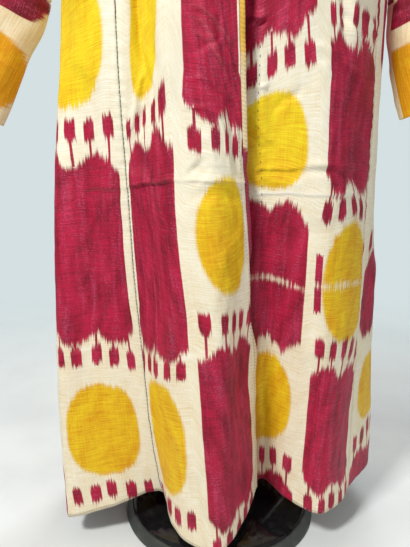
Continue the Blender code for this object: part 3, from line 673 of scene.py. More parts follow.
# %% Six threads up each front and the right gore
WEFT = [
    FIRST_COLUMN, FIRST_COLUMN + COLUMN / 2, FIRST_COLUMN + COLUMN,
    SECOND_COLUMN, SECOND_COLUMN + COLUMN / 2, SECOND_COLUMN + COLUMN,
]
LAY = {  # piece: share up its panel, shares across it where those six threads lie
    "front_right": [
        (0.03, 0.000, 0.190, 0.450, 0.498, 0.730, 0.960),
        (0.16, 0.000, 0.215, 0.445, 0.494, 0.730, 0.945),
        (0.26, -0.04, 0.130, 0.445, 0.490, 0.715, 0.920),
        (0.385, 0.028, 0.210, 0.448, 0.480, 0.772, 1.000),
        (0.485, 0.023, 0.220, 0.449, 0.484, 0.742, 0.995),
        (0.560, 0.023, 0.210, 0.450, 0.484, 0.752, 1.015),
        (0.610, 0.034, 0.200, 0.460, 0.505, 0.790, 1.060),
        (0.670, 0.020, 0.193, 0.465, 0.510, 0.812, 1.080),
        (0.745, 0.060, 0.215, 0.475, 0.536, 0.750, 0.985),
        (0.830, 0.100, 0.225, 0.480, 0.539, 0.735, 0.985),
        (1.000, 0.050, 0.250, 0.480, 0.530, 0.750, 0.985),
        (1.600, 0.025, 0.250, 0.480, 0.525, 0.750, 0.985),
    ],
    "front_left": [
        (0.02, 0.020, 0.200, 0.400, 0.435, 0.640, 0.860),
        (0.09, 0.055, 0.220, 0.389, 0.425, 0.640, 0.860),
        (0.16, 0.042, 0.210, 0.376, 0.415, 0.630, 0.850),
        (0.26, 0.000, 0.180, 0.358, 0.400, 0.610, 0.830),
        (0.31, -0.05, 0.144, 0.355, 0.402, 0.610, 0.830),
        (0.43, -0.05, 0.120, 0.340, 0.380, 0.600, 0.820),
        (0.54, -0.03, 0.095, 0.326, 0.362, 0.580, 0.810),
        (0.59, 0.000, 0.130, 0.292, 0.332, 0.570, 0.800),
        (0.65, 0.012, 0.140, 0.285, 0.330, 0.570, 0.800),
        (0.76, 0.002, 0.142, 0.273, 0.322, 0.552, 0.800),
        (0.83, 0.005, 0.163, 0.292, 0.341, 0.560, 0.800),
        (1.00, 0.020, 0.170, 0.320, 0.360, 0.580, 0.820),
        (1.60, 0.020, 0.230, 0.440, 0.490, 0.720, 0.960),
    ],
    "gore_right": [
        (0.02, 0.034, 0.198, 0.361, 0.396, 0.570, 0.745),
        (0.14, 0.042, 0.219, 0.396, 0.435, 0.620, 0.800),
        (0.28, 0.028, 0.240, 0.405, 0.445, 0.640, 0.830),
        (0.39, 0.045, 0.238, 0.430, 0.470, 0.670, 0.870),
        (0.475, 0.046, 0.262, 0.478, 0.520, 0.730, 0.930),
        (0.557, 0.041, 0.286, 0.515, 0.560, 0.780, 1.000),
        (0.665, 0.025, 0.325, 0.530, 0.580, 0.810, 1.040),
        (0.778, 0.020, 0.320, 0.550, 0.600, 0.830, 1.060),
        (1.00, 0.020, 0.310, 0.600, 0.660, 0.950, 1.240),
    ],
}
SLANT = {  # piece: share up its panel, how far the same threads have ridden up there
    "front_right": [
        (0.03, 0.010, 0.000, -0.026, 0.000, 0.000, 0.000),
        (0.28, 0.018, 0.026, -0.022, -0.003, 0.000, 0.010),
        (0.385, 0.000, 0.000, 0.000, -0.008, 0.013, 0.030),
        (0.50, 0.000, 0.000, 0.000, 0.000, 0.000, 0.000),
        (0.59, 0.020, 0.000, -0.020, -0.004, 0.015, 0.030),
        (0.67, 0.043, 0.004, -0.030, -0.008, 0.022, 0.045),
        (0.72, 0.052, 0.018, -0.045, 0.000, 0.015, 0.020),
        (0.78, 0.055, 0.025, -0.060, 0.000, 0.010, 0.015),
        (0.92, 0.000, 0.000, 0.000, 0.000, 0.000, 0.000),
    ],
    "front_left": [
        (0.03, 0.000, 0.000, 0.000, 0.000, 0.015, 0.030),
        (0.30, 0.010, 0.000, -0.015, 0.000, 0.000, 0.000),
        (0.53, 0.016, -0.003, 0.003, 0.000, 0.000, 0.000),
        (0.65, 0.000, 0.000, 0.000, -0.006, 0.000, 0.006),
        (0.75, 0.014, 0.000, -0.014, -0.035, 0.009, 0.030),
        (0.90, 0.000, 0.000, 0.000, -0.030, 0.009, 0.030),
    ],
    "gore_right": [
        (0.00, 0.024, 0.000, -0.010, 0.000, 0.000, 0.000),
        (1.00, 0.024, 0.000, -0.010, 0.000, 0.000, 0.000),
    ],
}
print("levels:", {name: len(rows) for name, rows in LAY.items()})

# %% From the chart to slopes
# The last two marks are not dye: one pales crease crests as wear and as painted sheen, and one lays
# a painted shadow.
MARKS = ("block", "disc", "tassel", "tassel_up", "stem", "line", "rails", "wear_and_sheen", "edge_shadow")
FAR = -0.03
STEM_GAP = 0.03
STEM_SPARE = 0.011


def chart_marks(name, across, along):
    """Slopes that the dye is cut from, for each point of a piece."""
    marks = {mark: np.full(np.shape(across), FAR) for mark in MARKS}
    marks["disc"] = np.full(np.shape(across), -1.0)
    column = (np.mod(across, LOOM) > LOOM / 2).astype(int)
    for side in (0, 1):
        here = column == side
        rows = CHART[(name, side)]
        ends = [(low, high) for kind, low, high in rows if kind == "block"]
        for kind, low, high in rows:
            middle = (low + high) / 2
            half = (high - low) / 2
            inside = half - np.abs(along - middle)
            if kind == "disc":
                slope = np.clip(1 - np.abs(along - middle) / half, -1.0, 1.0)
                marks["disc"] = np.where(here, np.maximum(marks["disc"], slope), marks["disc"])
                continue
            mark = "tassel" if kind == "tassels" else kind
            nearer = here & (inside > marks[mark])
            marks[mark] = np.where(nearer, inside, marks[mark])
            if kind == "tassels":
                marks["tassel_up"] = np.where(nearer, along - middle, marks["tassel_up"])
                for end_low, end_high in ends:
                    near = end_low if abs(end_low - high) < abs(end_high - low) else end_high
                    if min(abs(near - high), abs(near - low)) < STEM_GAP:
                        reach = abs(near - middle) / 2 + STEM_SPARE
                        slope = reach - np.abs(along - (near + middle) / 2)
                        longer = np.maximum(marks["stem"], slope)
                        marks["stem"] = np.where(here, longer, marks["stem"])
    return marks


print("marks:", ", ".join(MARKS))

# %% [markdown]
# ## Making a piece of cloth
# A piece starts as a grid of points on its surface. Its own normals push the points out
# by the creases, a seam pulls its edge in a little and puckers it, and a Solidify
# modifier gives the cloth its thickness. The warp and weft lengths go in a UV map. An
# unwrap could make that map, but it would not know which thread of the loom is where.

# %% Grids of points
def in_scene(name, data):
    """A new object for a mesh, light or camera, linked to the scene."""
    made = bpy.data.objects.new(name, data)
    bpy.context.scene.collection.objects.link(made)
    return made


def grid_normals(points, way):
    """Directions straight out of a grid."""
    across = np.gradient(points, axis=1)
    return unit(np.cross(across, np.gradient(points, axis=0)) * way)


def run_along(points):
    """Running length along a line of points."""
    return np.concatenate([[0.0], np.cumsum(np.linalg.norm(np.diff(points, axis=0), axis=1))])


def lengths(points, axis):
    """Running length along the rows or the columns of a grid."""
    steps = np.linalg.norm(np.diff(points, axis=axis), axis=2)
    zero = np.zeros_like(steps[:, :1]) if axis == 1 else np.zeros_like(steps[:1])
    return np.concatenate([zero, np.cumsum(steps, axis=axis)], axis=axis)


def corners_of(index):
    """The four corners of each cell of a grid of numbers."""
    low, high = index[:-1], index[1:]
    return np.stack([low[:, :-1], low[:, 1:], high[:, 1:], high[:, :-1]], axis=2)


# %% A sheet of cloth
def sheet_mesh(name, points, across, along, marks, way, closed=False):
    """Quads over a grid of points, with warp and weft lengths, and at the corners the dye marks,
    the paled crease crests and the painted shadow.

    A closed grid is a tube: across, along and marks have one more column than points,
    because the cloth's two edges meet there.
    """
    rows, columns = points.shape[:2]
    index = np.arange(rows * columns).reshape(rows, columns)
    if closed:
        index = np.column_stack([index, index[:, 0]])
    faces = corners_of(index)
    source = corners_of(np.arange(across.size).reshape(across.shape))
    if way < 0:
        faces, source = faces[:, :, ::-1], source[:, :, ::-1]
    source = source.reshape(-1)
    mesh = bpy.data.meshes.new(name)
    mesh.from_pydata(points.reshape(-1, 3).tolist(), [], faces.reshape(-1, 4).tolist())
    uv = mesh.uv_layers.new(name="cloth")
    pairs = np.stack([across.ravel(), along.ravel()], axis=1)[source]
    uv.data.foreach_set("uv", pairs.astype(np.float32).ravel())
    for mark, values in marks.items():
        layer = mesh.attributes.new(name=mark, type="FLOAT", domain="CORNER")
        layer.data.foreach_set("value", values.ravel()[source].astype(np.float32))
    mesh.shade_smooth()
    made = in_scene(name, mesh)
    thick = made.modifiers.new("cloth thickness", "SOLIDIFY")
    thick.thickness = CLOTH
    thick.offset = -1.0
    thick.use_rim = True
    return made


# %% Seams and threads
SEAM_DIP = 0.0011
SEAM_DIP_WIDTH = 0.0045
PUCKER = 0.00045
PUCKER_STEP = 0.017
PUCKER_WIDTH = 0.010
WOVEN_FROM = {"back_left": 0.006, "back_right": 0.010}
GORE_DRIFT = ([0.36, 0.50], [0.004, -0.014])


def seam_pull(distance, along):
    """A sewn edge lies a little low and puckers with its stitches."""
    dip = -SEAM_DIP * np.exp(-((distance / SEAM_DIP_WIDTH) ** 2))
    pucker = PUCKER * np.sin(along * 2 * math.pi / PUCKER_STEP + 2.2 * np.sin(along * 31))
    return dip + pucker * np.exp(-((distance / PUCKER_WIDTH) ** 2))


def loom_place(name, u, v, across):
    """Where each point was woven: across the loom, and how far its thread has slipped."""
    if name not in LAY:
        shift = np.interp(v, *GORE_DRIFT) if name == "gore_left" else WOVEN_FROM[name]
        return across + shift, np.zeros_like(across)
    level = v[:, 0]
    lay, slant = np.array(LAY[name]), np.array(SLANT[name])
    threads = range(len(WEFT))
    knots = [np.interp(level, lay[:, 0], lay[:, k + 1])[:, None] for k in threads]
    rides = [np.interp(level, slant[:, 0], slant[:, k + 1])[:, None] for k in threads]
    wide = across[:, -1:]
    woven = WEFT[0] + (u - knots[0]) * wide
    ridden = rides[0] + 0 * u
    for k in threads[:-1]:
        share = (u - knots[k]) / (knots[k + 1] - knots[k])
        woven = np.where(share >= 0, WEFT[k] + (WEFT[k + 1] - WEFT[k]) * share, woven)
        ridden = np.where(share >= 0, rides[k] + (rides[k + 1] - rides[k]) * share, ridden)
    past = u > knots[-1]
    woven = np.where(past, WEFT[-1] + (u - knots[-1]) * wide, woven)
    return woven, np.where(past, rides[-1], ridden)


# %% A strip of painted shadow beside the upper front's edge
SHADOW_EDGE = 0.020
SHADOW_FADE = 0.022


def edge_shadow(name, panel, u, v):
    """The strip of the under front beside the upper one's edge, darkened as a painted shadow."""
    if name != "front_left":
        return np.zeros(u.shape)
    beyond = panel.where(u, v) - path(OVER_EDGE)(skirt_height(v))
    waver = 0.003 * np.sin(38 * v) + 0.0015 * np.sin(95 * v)
    beside = 1 - ease((beyond + waver - SHADOW_EDGE) / SHADOW_FADE)
    return beside * (1 - ease((v - 0.9) / 0.3))


# %% The six body pieces in cloth
ROOT = "root"
YOKE_TOP = 1.998
FOLD_ROWS = 6
cloth_pieces = {}


def body_piece(name, columns, rows, yoke_rows):
    """A front, back or gore. Its rows lie closer above half way, where creases are sharp."""
    panel = PANELS[name]
    us = np.linspace(0.0, 1.0, columns + 1)
    even = np.linspace(0.0, 1.0, rows + 1)
    skirt = np.interp(even, [0.0, 0.26, 0.76, 1.0], [0.0, 0.50, 0.86, 1.0])
    if panel.side:
        upper = np.linspace(1.0, YOKE_TOP, yoke_rows + 1)[1:]
    else:
        upper = np.linspace(1.0, 2.0, FOLD_ROWS + 1)[1:]
    vs = np.concatenate([skirt, upper])
    base = np.array([panel.outer(us, np.full(len(us), v)) for v in vs])
    wide = lengths(base, 1)
    share = SEAM / 2 / wide[:, -1]
    trimmed = []
    for v, edge in zip(vs, share):
        shrunk = edge + us * (1 - 2 * edge)
        trimmed.append(panel.outer(shrunk, np.full(len(us), v)))
    base = np.array(trimmed)
    u_grid, v_grid = np.meshgrid(us, vs)
    normals = grid_normals(base, panel.way)
    depth, wear_and_sheen = relief(name, panel, u_grid.ravel(), v_grid.ravel())
    depth = depth.reshape(u_grid.shape)
    wear_and_sheen = wear_and_sheen.reshape(u_grid.shape)
    along = lengths(base, 0)
    across = lengths(base, 1)
    depth += seam_pull(across, along)
    if name not in ("front_right", "front_left"):
        depth += seam_pull(across[:, -1:] - across, along)
    points = base + normals * depth[:, :, None]
    woven, ridden = loom_place(name, u_grid, v_grid, across)
    marks = chart_marks(name, woven, along + ridden)
    marks["wear_and_sheen"] = wear_and_sheen
    # A painted shadow on the under front, beside the upper front's edge.
    marks["edge_shadow"] = edge_shadow(name, panel, u_grid, v_grid)
    made = sheet_mesh(name + "_cloth", points, woven, along + ridden, marks, panel.way)
    cloth_pieces[name] = {
        "object": made, "points": points, "normals": grid_normals(points, panel.way),
        "along": along, "across": across, "levels": vs,
    }
    return made


BODY_GRIDS = {  # piece: columns, rows of its skirt, rows above the armpit
    "front_right": (78, 300, 84),
    "front_left": (80, 300, 84),
    "back_left": (50, 200, 60),
    "back_right": (50, 200, 60),
    "gore_left": (48, 190, 0),
    "gore_right": (84, 230, 0),
}
for name, grid in BODY_GRIDS.items():
    made = body_piece(name, *grid)
    hem = cloth_pieces[name]["across"][0, -1]
    print(name, len(made.data.polygons), "faces, hem %.3f m" % hem)

# %% [markdown]
# ## Sleeves
# Each sleeve is a wide straight tube that starts at the armhole and flattens towards
# the cuff. Its cloth is turned a quarter, so the warp runs round the arm and the
# columns of the pattern cross it. The tube could be lofted between a few rings, but the
# first ring has to be the armhole itself, or the seam would gape. So its points come
# from the panels' own edges, and the rings leave them at right angles.

# %% Sizes of the sleeves
SEAM_SHARE = 0.50
SLEEVE_SEAM = 0.0007
SLEEVE_SET_OUT = 0.040
UNDERARM_SET_OUT = 0.030
CORNER_RISE = ARMPIT_FOLD * (math.pi / 2 - 1)
CORNER_GAP = 0.0012
SLEEVE_ROWS = {  # share of length, inner x, inner z, outer x, outer z, y, half depth
    "right": [
        (0.14, -0.262, 0.974, -0.268, 1.186, 0.000, 0.074),
        (0.32, -0.262, 0.915, -0.346, 1.088, -0.004, 0.056),
        (0.50, -0.256, 0.855, -0.396, 1.005, -0.010, 0.042),
        (0.75, -0.294, 0.765, -0.448, 0.890, -0.018, 0.034),
        (1.00, -0.337, 0.679, -0.506, 0.765, -0.024, 0.028),
    ],
    "left": [
        (0.14, 0.256, 0.974, 0.266, 1.184, 0.012, 0.070),
        (0.32, 0.258, 0.915, 0.334, 1.085, 0.004, 0.055),
        (0.50, 0.252, 0.850, 0.374, 1.000, 0.002, 0.044),
        (0.75, 0.258, 0.765, 0.408, 0.892, 0.000, 0.036),
        (1.00, 0.280, 0.688, 0.449, 0.774, -0.006, 0.030),
    ],
}


print("rings given by hand:", {side: len(rows) for side, rows in SLEEVE_ROWS.items()})


# %% The loop of an armhole
def edge_run(panel, u, v, leaving_u):
    """Points along a panel's edge and the directions that lead on past it."""
    points = panel.outer(u, v)
    if leaving_u:
        step = panel.outer(u + 0.001, v) - panel.outer(u - 0.001, v)
        return points, -unit(step)
    return points, unit(points - panel.outer(u, v - 0.05))


def armhole(side, fineness=36):
    """From under the arm forward, up the front, over the tip and down the back."""
    gore, front, back = (PANELS[kind + side] for kind in ("gore_", "front_", "back_"))
    rise = 1 + np.linspace(math.asin(FOLD_CLIMB) * 2 / math.pi, 1.0, fineness)
    half = np.linspace(0.5, 0.0, fineness // 2)
    runs = [
        edge_run(gore, half, 0 * half + 2, False),
        edge_run(front, 0 * rise, rise, True),
        edge_run(back, 0 * rise, rise[::-1], True),
        edge_run(gore, 1 - half[::-1], 0 * half + 2, False),
    ]
    points, onward = runs[0]
    tip = 0
    for k, (more, leads) in enumerate(runs[1:]):
        joint = (points[-1:] + more[:1]) / 2
        lead = unit(onward[-1:] + leads[:1])
        points = np.vstack([points[:-1], joint, more[1:]])
        onward = np.vstack([onward[:-1], lead, leads[1:]])
        if k == 0:
            tip = len(points) - 1
    return points[:-1], onward[:-1], tip


# %% The rings of a sleeve
class Sleeve:
    """Rings round the arm, by share of the sleeve's length from the armhole."""

    def __init__(self, side):
        edge, self.onward, tip = armhole(side)
        above = edge[:, 2] - (ARMPIT_Z + ARMPIT_FOLD)
        in_corner = np.exp(-(((above - CORNER_RISE) / (CORNER_RISE / 2)) ** 2))
        gap = SEAM + (CORNER_GAP - SEAM) * in_corner
        self.start = edge + self.onward * gap[:, None]
        chords = np.linalg.norm(np.roll(self.start, -1, axis=0) - self.start, axis=1)
        travelled = np.concatenate([[0.0], np.cumsum(chords)[:-1]])
        self.angles = 2 * math.pi * (travelled[tip] - travelled) / chords.sum()
        self.rows = np.array(SLEEVE_ROWS[side])
        self.first = self.rows[0, 0]

    def section(self, share):
        """An oval ring between the ones given in the table."""
        row = through(self.rows[:, 0], self.rows[:, 1:], np.array([share]))[0]
        inner_x, inner_z, outer_x, outer_z, y, depth = row
        middle = np.array([(inner_x + outer_x) / 2, y, (inner_z + outer_z) / 2])
        reach = np.array([(outer_x - inner_x) / 2, 0.0, (outer_z - inner_z) / 2])
        forward = np.array([0.0, -depth, 0.0])
        cosine = np.cos(self.angles)[:, None]
        return middle + reach * cosine + forward * np.sin(self.angles)[:, None]

    def ring(self, share):
        """A ring anywhere. Near the armhole it turns from the seam into the first oval."""
        if share >= self.first:
            return self.section(share)
        t = share / self.first
        end = self.section(self.first)
        leaving = (self.section(self.first + 0.01) - end) / 0.01 * self.first
        under = (1 - np.cos(self.angles))[:, None] / 2
        set_out = self.onward * (SLEEVE_SET_OUT * (1 - under) + UNDERARM_SET_OUT * under)
        rise = t * t * (3 - 2 * t)
        bend = set_out * t * (1 - t) ** 2 - leaving * t * t * (1 - t)
        return self.start * (1 - rise) + end * rise + bend


# %% Creases of the sleeves
SLEEVE_CREASES = [  # share, turn round the arm, share, turn, half width, depth
    (0.10, 0.20, 0.34, 0.12, 0.014, -0.0045),
    (0.06, 0.36, 0.30, 0.40, 0.013, -0.0035),
    (0.12, 0.28, 0.44, 0.24, 0.015, 0.0035),
    (0.36, 0.06, 0.44, 0.30, 0.011, -0.0038),
    (0.42, 0.02, 0.52, 0.22, 0.012, 0.0034),
    (0.48, 0.10, 0.62, 0.34, 0.013, -0.0030),
    (0.60, 0.08, 0.94, 0.14, 0.014, 0.0028),
    (0.66, 0.26, 0.96, 0.30, 0.013, -0.0026),
    (0.72, 0.40, 0.90, 0.46, 0.012, 0.0024),
    (0.10, 0.62, 0.34, 0.56, 0.014, -0.0040),
    (0.14, 0.80, 0.38, 0.86, 0.014, 0.0034),
    (0.38, 0.62, 0.46, 0.92, 0.012, -0.0036),
    (0.50, 0.58, 0.66, 0.84, 0.013, 0.0030),
    (0.62, 0.72, 0.96, 0.66, 0.014, -0.0026),
    (0.70, 0.88, 0.94, 0.92, 0.012, 0.0022),
    (0.78, 0.02, 0.84, 0.40, 0.004, 0.0012),
    (0.30, 0.55, 0.26, 0.95, 0.004, 0.0012),
]
SLEEVE_RIPPLES = waves(21, 12, (2, 7), (10.0, 40.0), 0.0005)
SLEEVE_LENGTH = 0.55
SLEEVE_ROUND = 0.45
LEFT_SHIFT = 0.035


def sleeve_relief(side, share, turn):
    """Creases and ripples of a sleeve. The left one's are moved on, so they differ."""
    total = np.zeros(np.shape(share))
    shift = 0.0 if side == "right" else LEFT_SHIFT
    x, y = share * SLEEVE_LENGTH, turn * SLEEVE_ROUND
    for s0, a0, s1, a1, width, depth in SLEEVE_CREASES:
        x0, y0 = (s0 + shift) * SLEEVE_LENGTH, (a0 + shift) * SLEEVE_ROUND
        x1, y1 = (s1 + shift * 0.5) * SLEEVE_LENGTH, (a1 + shift) * SLEEVE_ROUND
        along, above = line_share(x, y, x0, y0, x1, y1)
        waver = 0.004 * np.sin(7 * along + 5 * s0)
        total += depth * crease(along, (above + waver) / width, "fold")
    for turns, rise, phase, size in SLEEVE_RIPPLES:
        total += size * np.sin(2 * math.pi * turns * turn + rise * share + phase)
    return total * ease((share - 0.02) / 0.10)


print("creases on each sleeve:", len(SLEEVE_CREASES))

# %% The pattern of the sleeves
SLEEVE_CHART = [  # side, column, motif, from, to, in metres round the arm
    ("right", 0, "disc", -0.004, 0.215), ("right", 0, "tassels", 0.228, 0.272),
    ("right", 0, "block", 0.280, 0.420), ("right", 1, "block", 0.010, 0.235),
    ("right", 1, "tassels", 0.243, 0.289), ("right", 1, "disc", 0.300, 0.430),
    ("left", 0, "disc", -0.075, 0.105), ("left", 0, "tassels", 0.118, 0.164),
    ("left", 0, "block", 0.172, 0.345), ("left", 1, "block", -0.100, 0.150),
    ("left", 1, "tassels", 0.158, 0.204), ("left", 1, "disc", 0.215, 0.380),
]
for side, starts in (("right", (0.340, 0.060)), ("left", (0.300, 0.040))):
    for column in (0, 1):
        rows = [row[2:] for row in SLEEVE_CHART if row[:2] == (side, column)]
        CHART[("sleeve_lower_" + side, column)] = rows
        CHART[("sleeve_upper_" + side, column)] = repeated(starts[column], 0.6)
print("charted columns with the sleeves:", len(CHART))

# %% The four sleeve pieces in cloth
RINGS = 62
CUFF_MARGIN = {"right": 0.014, "left": 0.040}
SEAM_MARGIN = 0.004


def sleeve_pieces(side):
    """The upper and the lower width of one sleeve, which meet at a seam."""
    sleeve = Sleeve(side)
    way = -1 if side == "right" else 1
    turns = (math.pi - sleeve.angles) / (2 * math.pi)
    upper = np.linspace(0.0, SEAM_SHARE - SLEEVE_SEAM, RINGS)
    lower = np.linspace(SEAM_SHARE + SLEEVE_SEAM, 1.0, RINGS)
    shares = np.concatenate([upper, lower])
    base = np.array([sleeve.ring(share) for share in shares])
    share_grid, turn_grid = np.meshgrid(shares, turns, indexing="ij")
    around = np.roll(base, -1, axis=1) - np.roll(base, 1, axis=1)
    along = np.gradient(base, axis=0)
    normals = unit(np.cross(along, around)) * way
    depth = sleeve_relief(side, share_grid, turn_grid)
    reach = lengths(base, 0)
    for sewn in (0.0, SEAM_SHARE):
        here = reach[np.argmin(np.abs(shares - sewn))]
        depth += seam_pull(np.abs(reach - here), turn_grid * SLEEVE_ROUND)
    points = base + normals * depth[:, :, None]
    ring = np.concatenate([points, points[:, :1]], axis=1)
    from_cuff = lengths(ring[::-1], 0)[::-1]
    round_arm = lengths(ring, 1)
    for part, rows in (("upper", slice(0, RINGS)), ("lower", slice(RINGS, 2 * RINGS))):
        name = f"sleeve_{part}_{side}"
        across = from_cuff[rows] + CUFF_MARGIN[side]
        if part == "upper":
            across = from_cuff[rows] - from_cuff[rows][-1:] + SEAM_MARGIN
        warp = round_arm[rows]
        marks = chart_marks(name, across, warp)
        marks["wear_and_sheen"] = np.zeros(across.shape)
        marks["edge_shadow"] = np.zeros(across.shape)
        made = sheet_mesh(name + "_cloth", points[rows], across, warp, marks, way, True)
        cloth_pieces[name] = {
            "object": made, "points": points[rows], "normals": normals[rows],
            "along": across, "across": warp,
        }
        print(name, len(made.data.polygons), "faces, %.3f m round" % warp[:, -1].mean())


for side in ("right", "left"):
    sleeve_pieces(side)

# %% [markdown]
# ## Edging
# A narrow twisted strip finishes both front edges and the back of the neck. A plain
# tube would look like piping. Its section swells and shrinks as it turns along the
# strip, so the two strands show as slanting ribs.

# %% A twisted strip
STRIP_WIDTH = 0.0070
STRIP_DEPTH = 0.0036
STRIP_SIDES = 14
SWELL_WIDE = 0.05
SWELL_DEEP = 0.16
TWIST = 0.0110
NECK_SPARE = 0.0015


def strip(name, outer, normals, sideways, height):
    """A rolled strip beside an edge. Its map holds turn and height, which colour it."""
    angles = 2 * math.pi * np.arange(STRIP_SIDES) / STRIP_SIDES
    middle = outer - normals * CLOTH / 2 + sideways * (STRIP_WIDTH / 2 + SEAM)
    twist = 2 * math.pi * run_along(outer)[:, None] / TWIST
    swell = np.cos(2 * (angles[None, :] - twist))
    wide = np.cos(angles)[None, :] * STRIP_WIDTH / 2 * (1 + SWELL_WIDE * swell)
    deep = np.sin(angles)[None, :] * STRIP_DEPTH / 2 * (1 + SWELL_DEEP * swell)
    points = (
        middle[:, None]
        + sideways[:, None] * wide[:, :, None]
        + normals[:, None] * deep[:, :, None]
    )
    mesh = bpy.data.meshes.new(name)
    index = np.arange(len(points) * STRIP_SIDES).reshape(-1, STRIP_SIDES)
    index = np.column_stack([index, index[:, 0]])
    faces = corners_of(index).reshape(-1, 4).tolist()
    faces += [index[0, :-1][::-1].tolist(), index[-1, :-1].tolist()]
    mesh.from_pydata(points.reshape(-1, 3).tolist(), [], faces)
    uv = mesh.uv_layers.new(name="cloth")
    grid_u, grid_v = np.meshgrid(np.arange(STRIP_SIDES + 1) / STRIP_SIDES, height)
    source = corners_of(np.arange(grid_u.size).reshape(grid_u.shape)).reshape(-1)
    pairs = np.stack([grid_u.ravel(), grid_v.ravel()], axis=1)[source]
    caps = np.zeros((2 * STRIP_SIDES, 2))
    caps[:STRIP_SIDES, 1], caps[STRIP_SIDES:, 1] = height[0], height[-1]
    uv.data.foreach_set("uv", np.vstack([pairs, caps]).astype(np.float32).ravel())
    bm = bmesh.new()
    bm.from_mesh(mesh)
    bmesh.ops.recalc_face_normals(bm, faces=bm.faces[:])
    bm.to_mesh(mesh)
    bm.free()
    mesh.shade_smooth()
    return in_scene(name, mesh)


def resample(points, *others, step=0.0013):
    """The same line in even steps, with what goes along with its points."""
    run = run_along(points)
    at = np.arange(0.0, run[-1], step)
    return [
        np.column_stack([np.interp(at, run, values[:, k]) for k in range(values.shape[1])])
        for values in (points, *others)
    ]


# %% Strips along both fronts and the neck
def front_strip(side):
    """Up the free edge of a front."""
    piece = cloth_pieces["front_" + side]
    edge = piece["points"][:, -1]
    normals = piece["normals"][:, -1]
    beside = unit(edge - piece["points"][:, -2])
    edge, normals, beside = resample(edge, normals, beside)
    beside = unit(beside - normals * np.sum(beside * normals, axis=1)[:, None])
    return strip(f"edging_front_{side}_strip", edge, unit(normals), beside, edge[:, 2])


def neck_strip():
    """Round the back of the neck, from one shoulder seam to the other."""
    runs = []
    for side in ("right", "left"):
        piece = cloth_pieces["back_" + side]
        top = piece["points"][-1]
        inside = np.abs(top[:, 0]) <= NECK_X + NECK_SPARE
        runs.append((top[inside], piece["normals"][-1][inside]))
    edge = np.vstack([runs[0][0], runs[1][0][::-1]])
    normals = np.vstack([runs[0][1], runs[1][1][::-1]])
    along = np.gradient(edge, axis=0)
    beside = unit(np.cross(along, normals))
    beside *= -np.sign(beside[len(beside) // 2, 1])
    edge, normals, beside = resample(edge, normals, beside)
    return strip("edging_neck_strip", edge, unit(normals), unit(beside), edge[:, 2])


edgings = {"front_right": front_strip("right"), "front_left": front_strip("left")}
edgings["neck"] = neck_strip()
print("strips:", ", ".join(made.name for made in edgings.values()))

# %% [markdown]
# ## Stitches
# The seams are sewn with a running stitch that shows. Each stitch is a short thread
# that lies along its seam, so Geometry Nodes can set the same little shape along any
# line. An array along a curve could too, but every stitch would be the same. The tree
# takes a line of edges, walks it in even steps, and turns each thread to the line. The
# result becomes a plain mesh.

# %% A helper for nodes
def node(tree, kind, inputs=None, **settings):
    """A new node. An input is a value to set or a socket to join."""
    made = tree.nodes.new(kind)
    for key, value in settings.items():
        setattr(made, key, value)
    for key, value in (inputs or {}).items():
        if isinstance(value, bpy.types.NodeSocket):
            tree.links.new(value, made.inputs[key])
        else:
            made.inputs[key].default_value = value
    return made


# %% A tree that sews a line
def make_stitch_tree():
    """Its inputs are the line, the sizes of a stitch in metres, and the thread."""
    tree = bpy.data.node_groups.new("running stitch", "GeometryNodeTree")
    face = tree.interface
    face.new_socket("Line", in_out="INPUT", socket_type="NodeSocketGeometry")
    for label, value in (("Spacing", 0.005), ("Length", 0.003), ("Thickness", 0.0006)):
        socket = face.new_socket(label, in_out="INPUT", socket_type="NodeSocketFloat")
        socket.default_value = value
    face.new_socket("Thread", in_out="INPUT", socket_type="NodeSocketMaterial")
    face.new_socket("Sewn", in_out="OUTPUT", socket_type="NodeSocketGeometry")
    given = node(tree, "NodeGroupInput").outputs
    line = node(tree, "GeometryNodeMeshToCurve", {"Mesh": given["Line"]}).outputs[0]
    inputs = {"Curve": line, "Length": given["Spacing"]}
    walk = node(tree, "GeometryNodeCurveToPoints", inputs, mode="LENGTH").outputs
    inputs = {"Segments": 6, "Rings": 4, "Radius": 0.5}
    thread = node(tree, "GeometryNodeMeshUVSphere", inputs).outputs[0]
    inputs = {"X": given["Length"], "Y": given["Thickness"], "Z": given["Thickness"]}
    size = node(tree, "ShaderNodeCombineXYZ", inputs).outputs[0]
    shape = node(tree, "GeometryNodeTransform", {"Geometry": thread, "Scale": size}).outputs[0]
    inputs = {"Vector": walk["Tangent"]}
    turn = node(tree, "FunctionNodeAlignRotationToVector", inputs, axis="X").outputs[0]
    inputs = {0: (0.75, 0.8, 0.8), 1: (1.2, 1.2, 1.1), "Seed": 7}
    uneven = node(tree, "FunctionNodeRandomValue", inputs, data_type="FLOAT_VECTOR").outputs[0]
    inputs = {"Points": walk["Points"], "Instance": shape, "Rotation": turn, "Scale": uneven}
    put = node(tree, "GeometryNodeInstanceOnPoints", inputs).outputs[0]
    real = node(tree, "GeometryNodeRealizeInstances", {"Geometry": put}).outputs[0]
    inputs = {"Geometry": real, "Material": given["Thread"]}
    dressed = node(tree, "GeometryNodeSetMaterial", inputs).outputs[0]
    node(tree, "NodeGroupOutput", {"Sewn": dressed})
    return tree


stitch_tree = make_stitch_tree()
print("stitch tree:", len(stitch_tree.nodes), "nodes")


# %% Lines on the finished cloth
ABOVE = 0.0002


def on_cloth(name, u, v):
    """Points on a finished body piece, by the panel's own share across and share up."""
    piece = cloth_pieces[name]
    grid = piece["points"] + piece["normals"] * ABOVE
    rows, columns = grid.shape[:2]
    row = np.interp(v, piece["levels"], np.arange(rows))
    column = np.clip(np.asarray(u, float), 0, 1) * (columns - 1)
    r = np.minimum(row.astype(int), rows - 2)
    c = np.minimum(column.astype(int), columns - 2)
    fr, fc = (row - r)[:, None], (column - c)[:, None]
    low = grid[r, c] * (1 - fc) + grid[r, c + 1] * fc
    high = grid[r + 1, c] * (1 - fc) + grid[r + 1, c + 1] * fc
    return low * (1 - fr) + high * fr


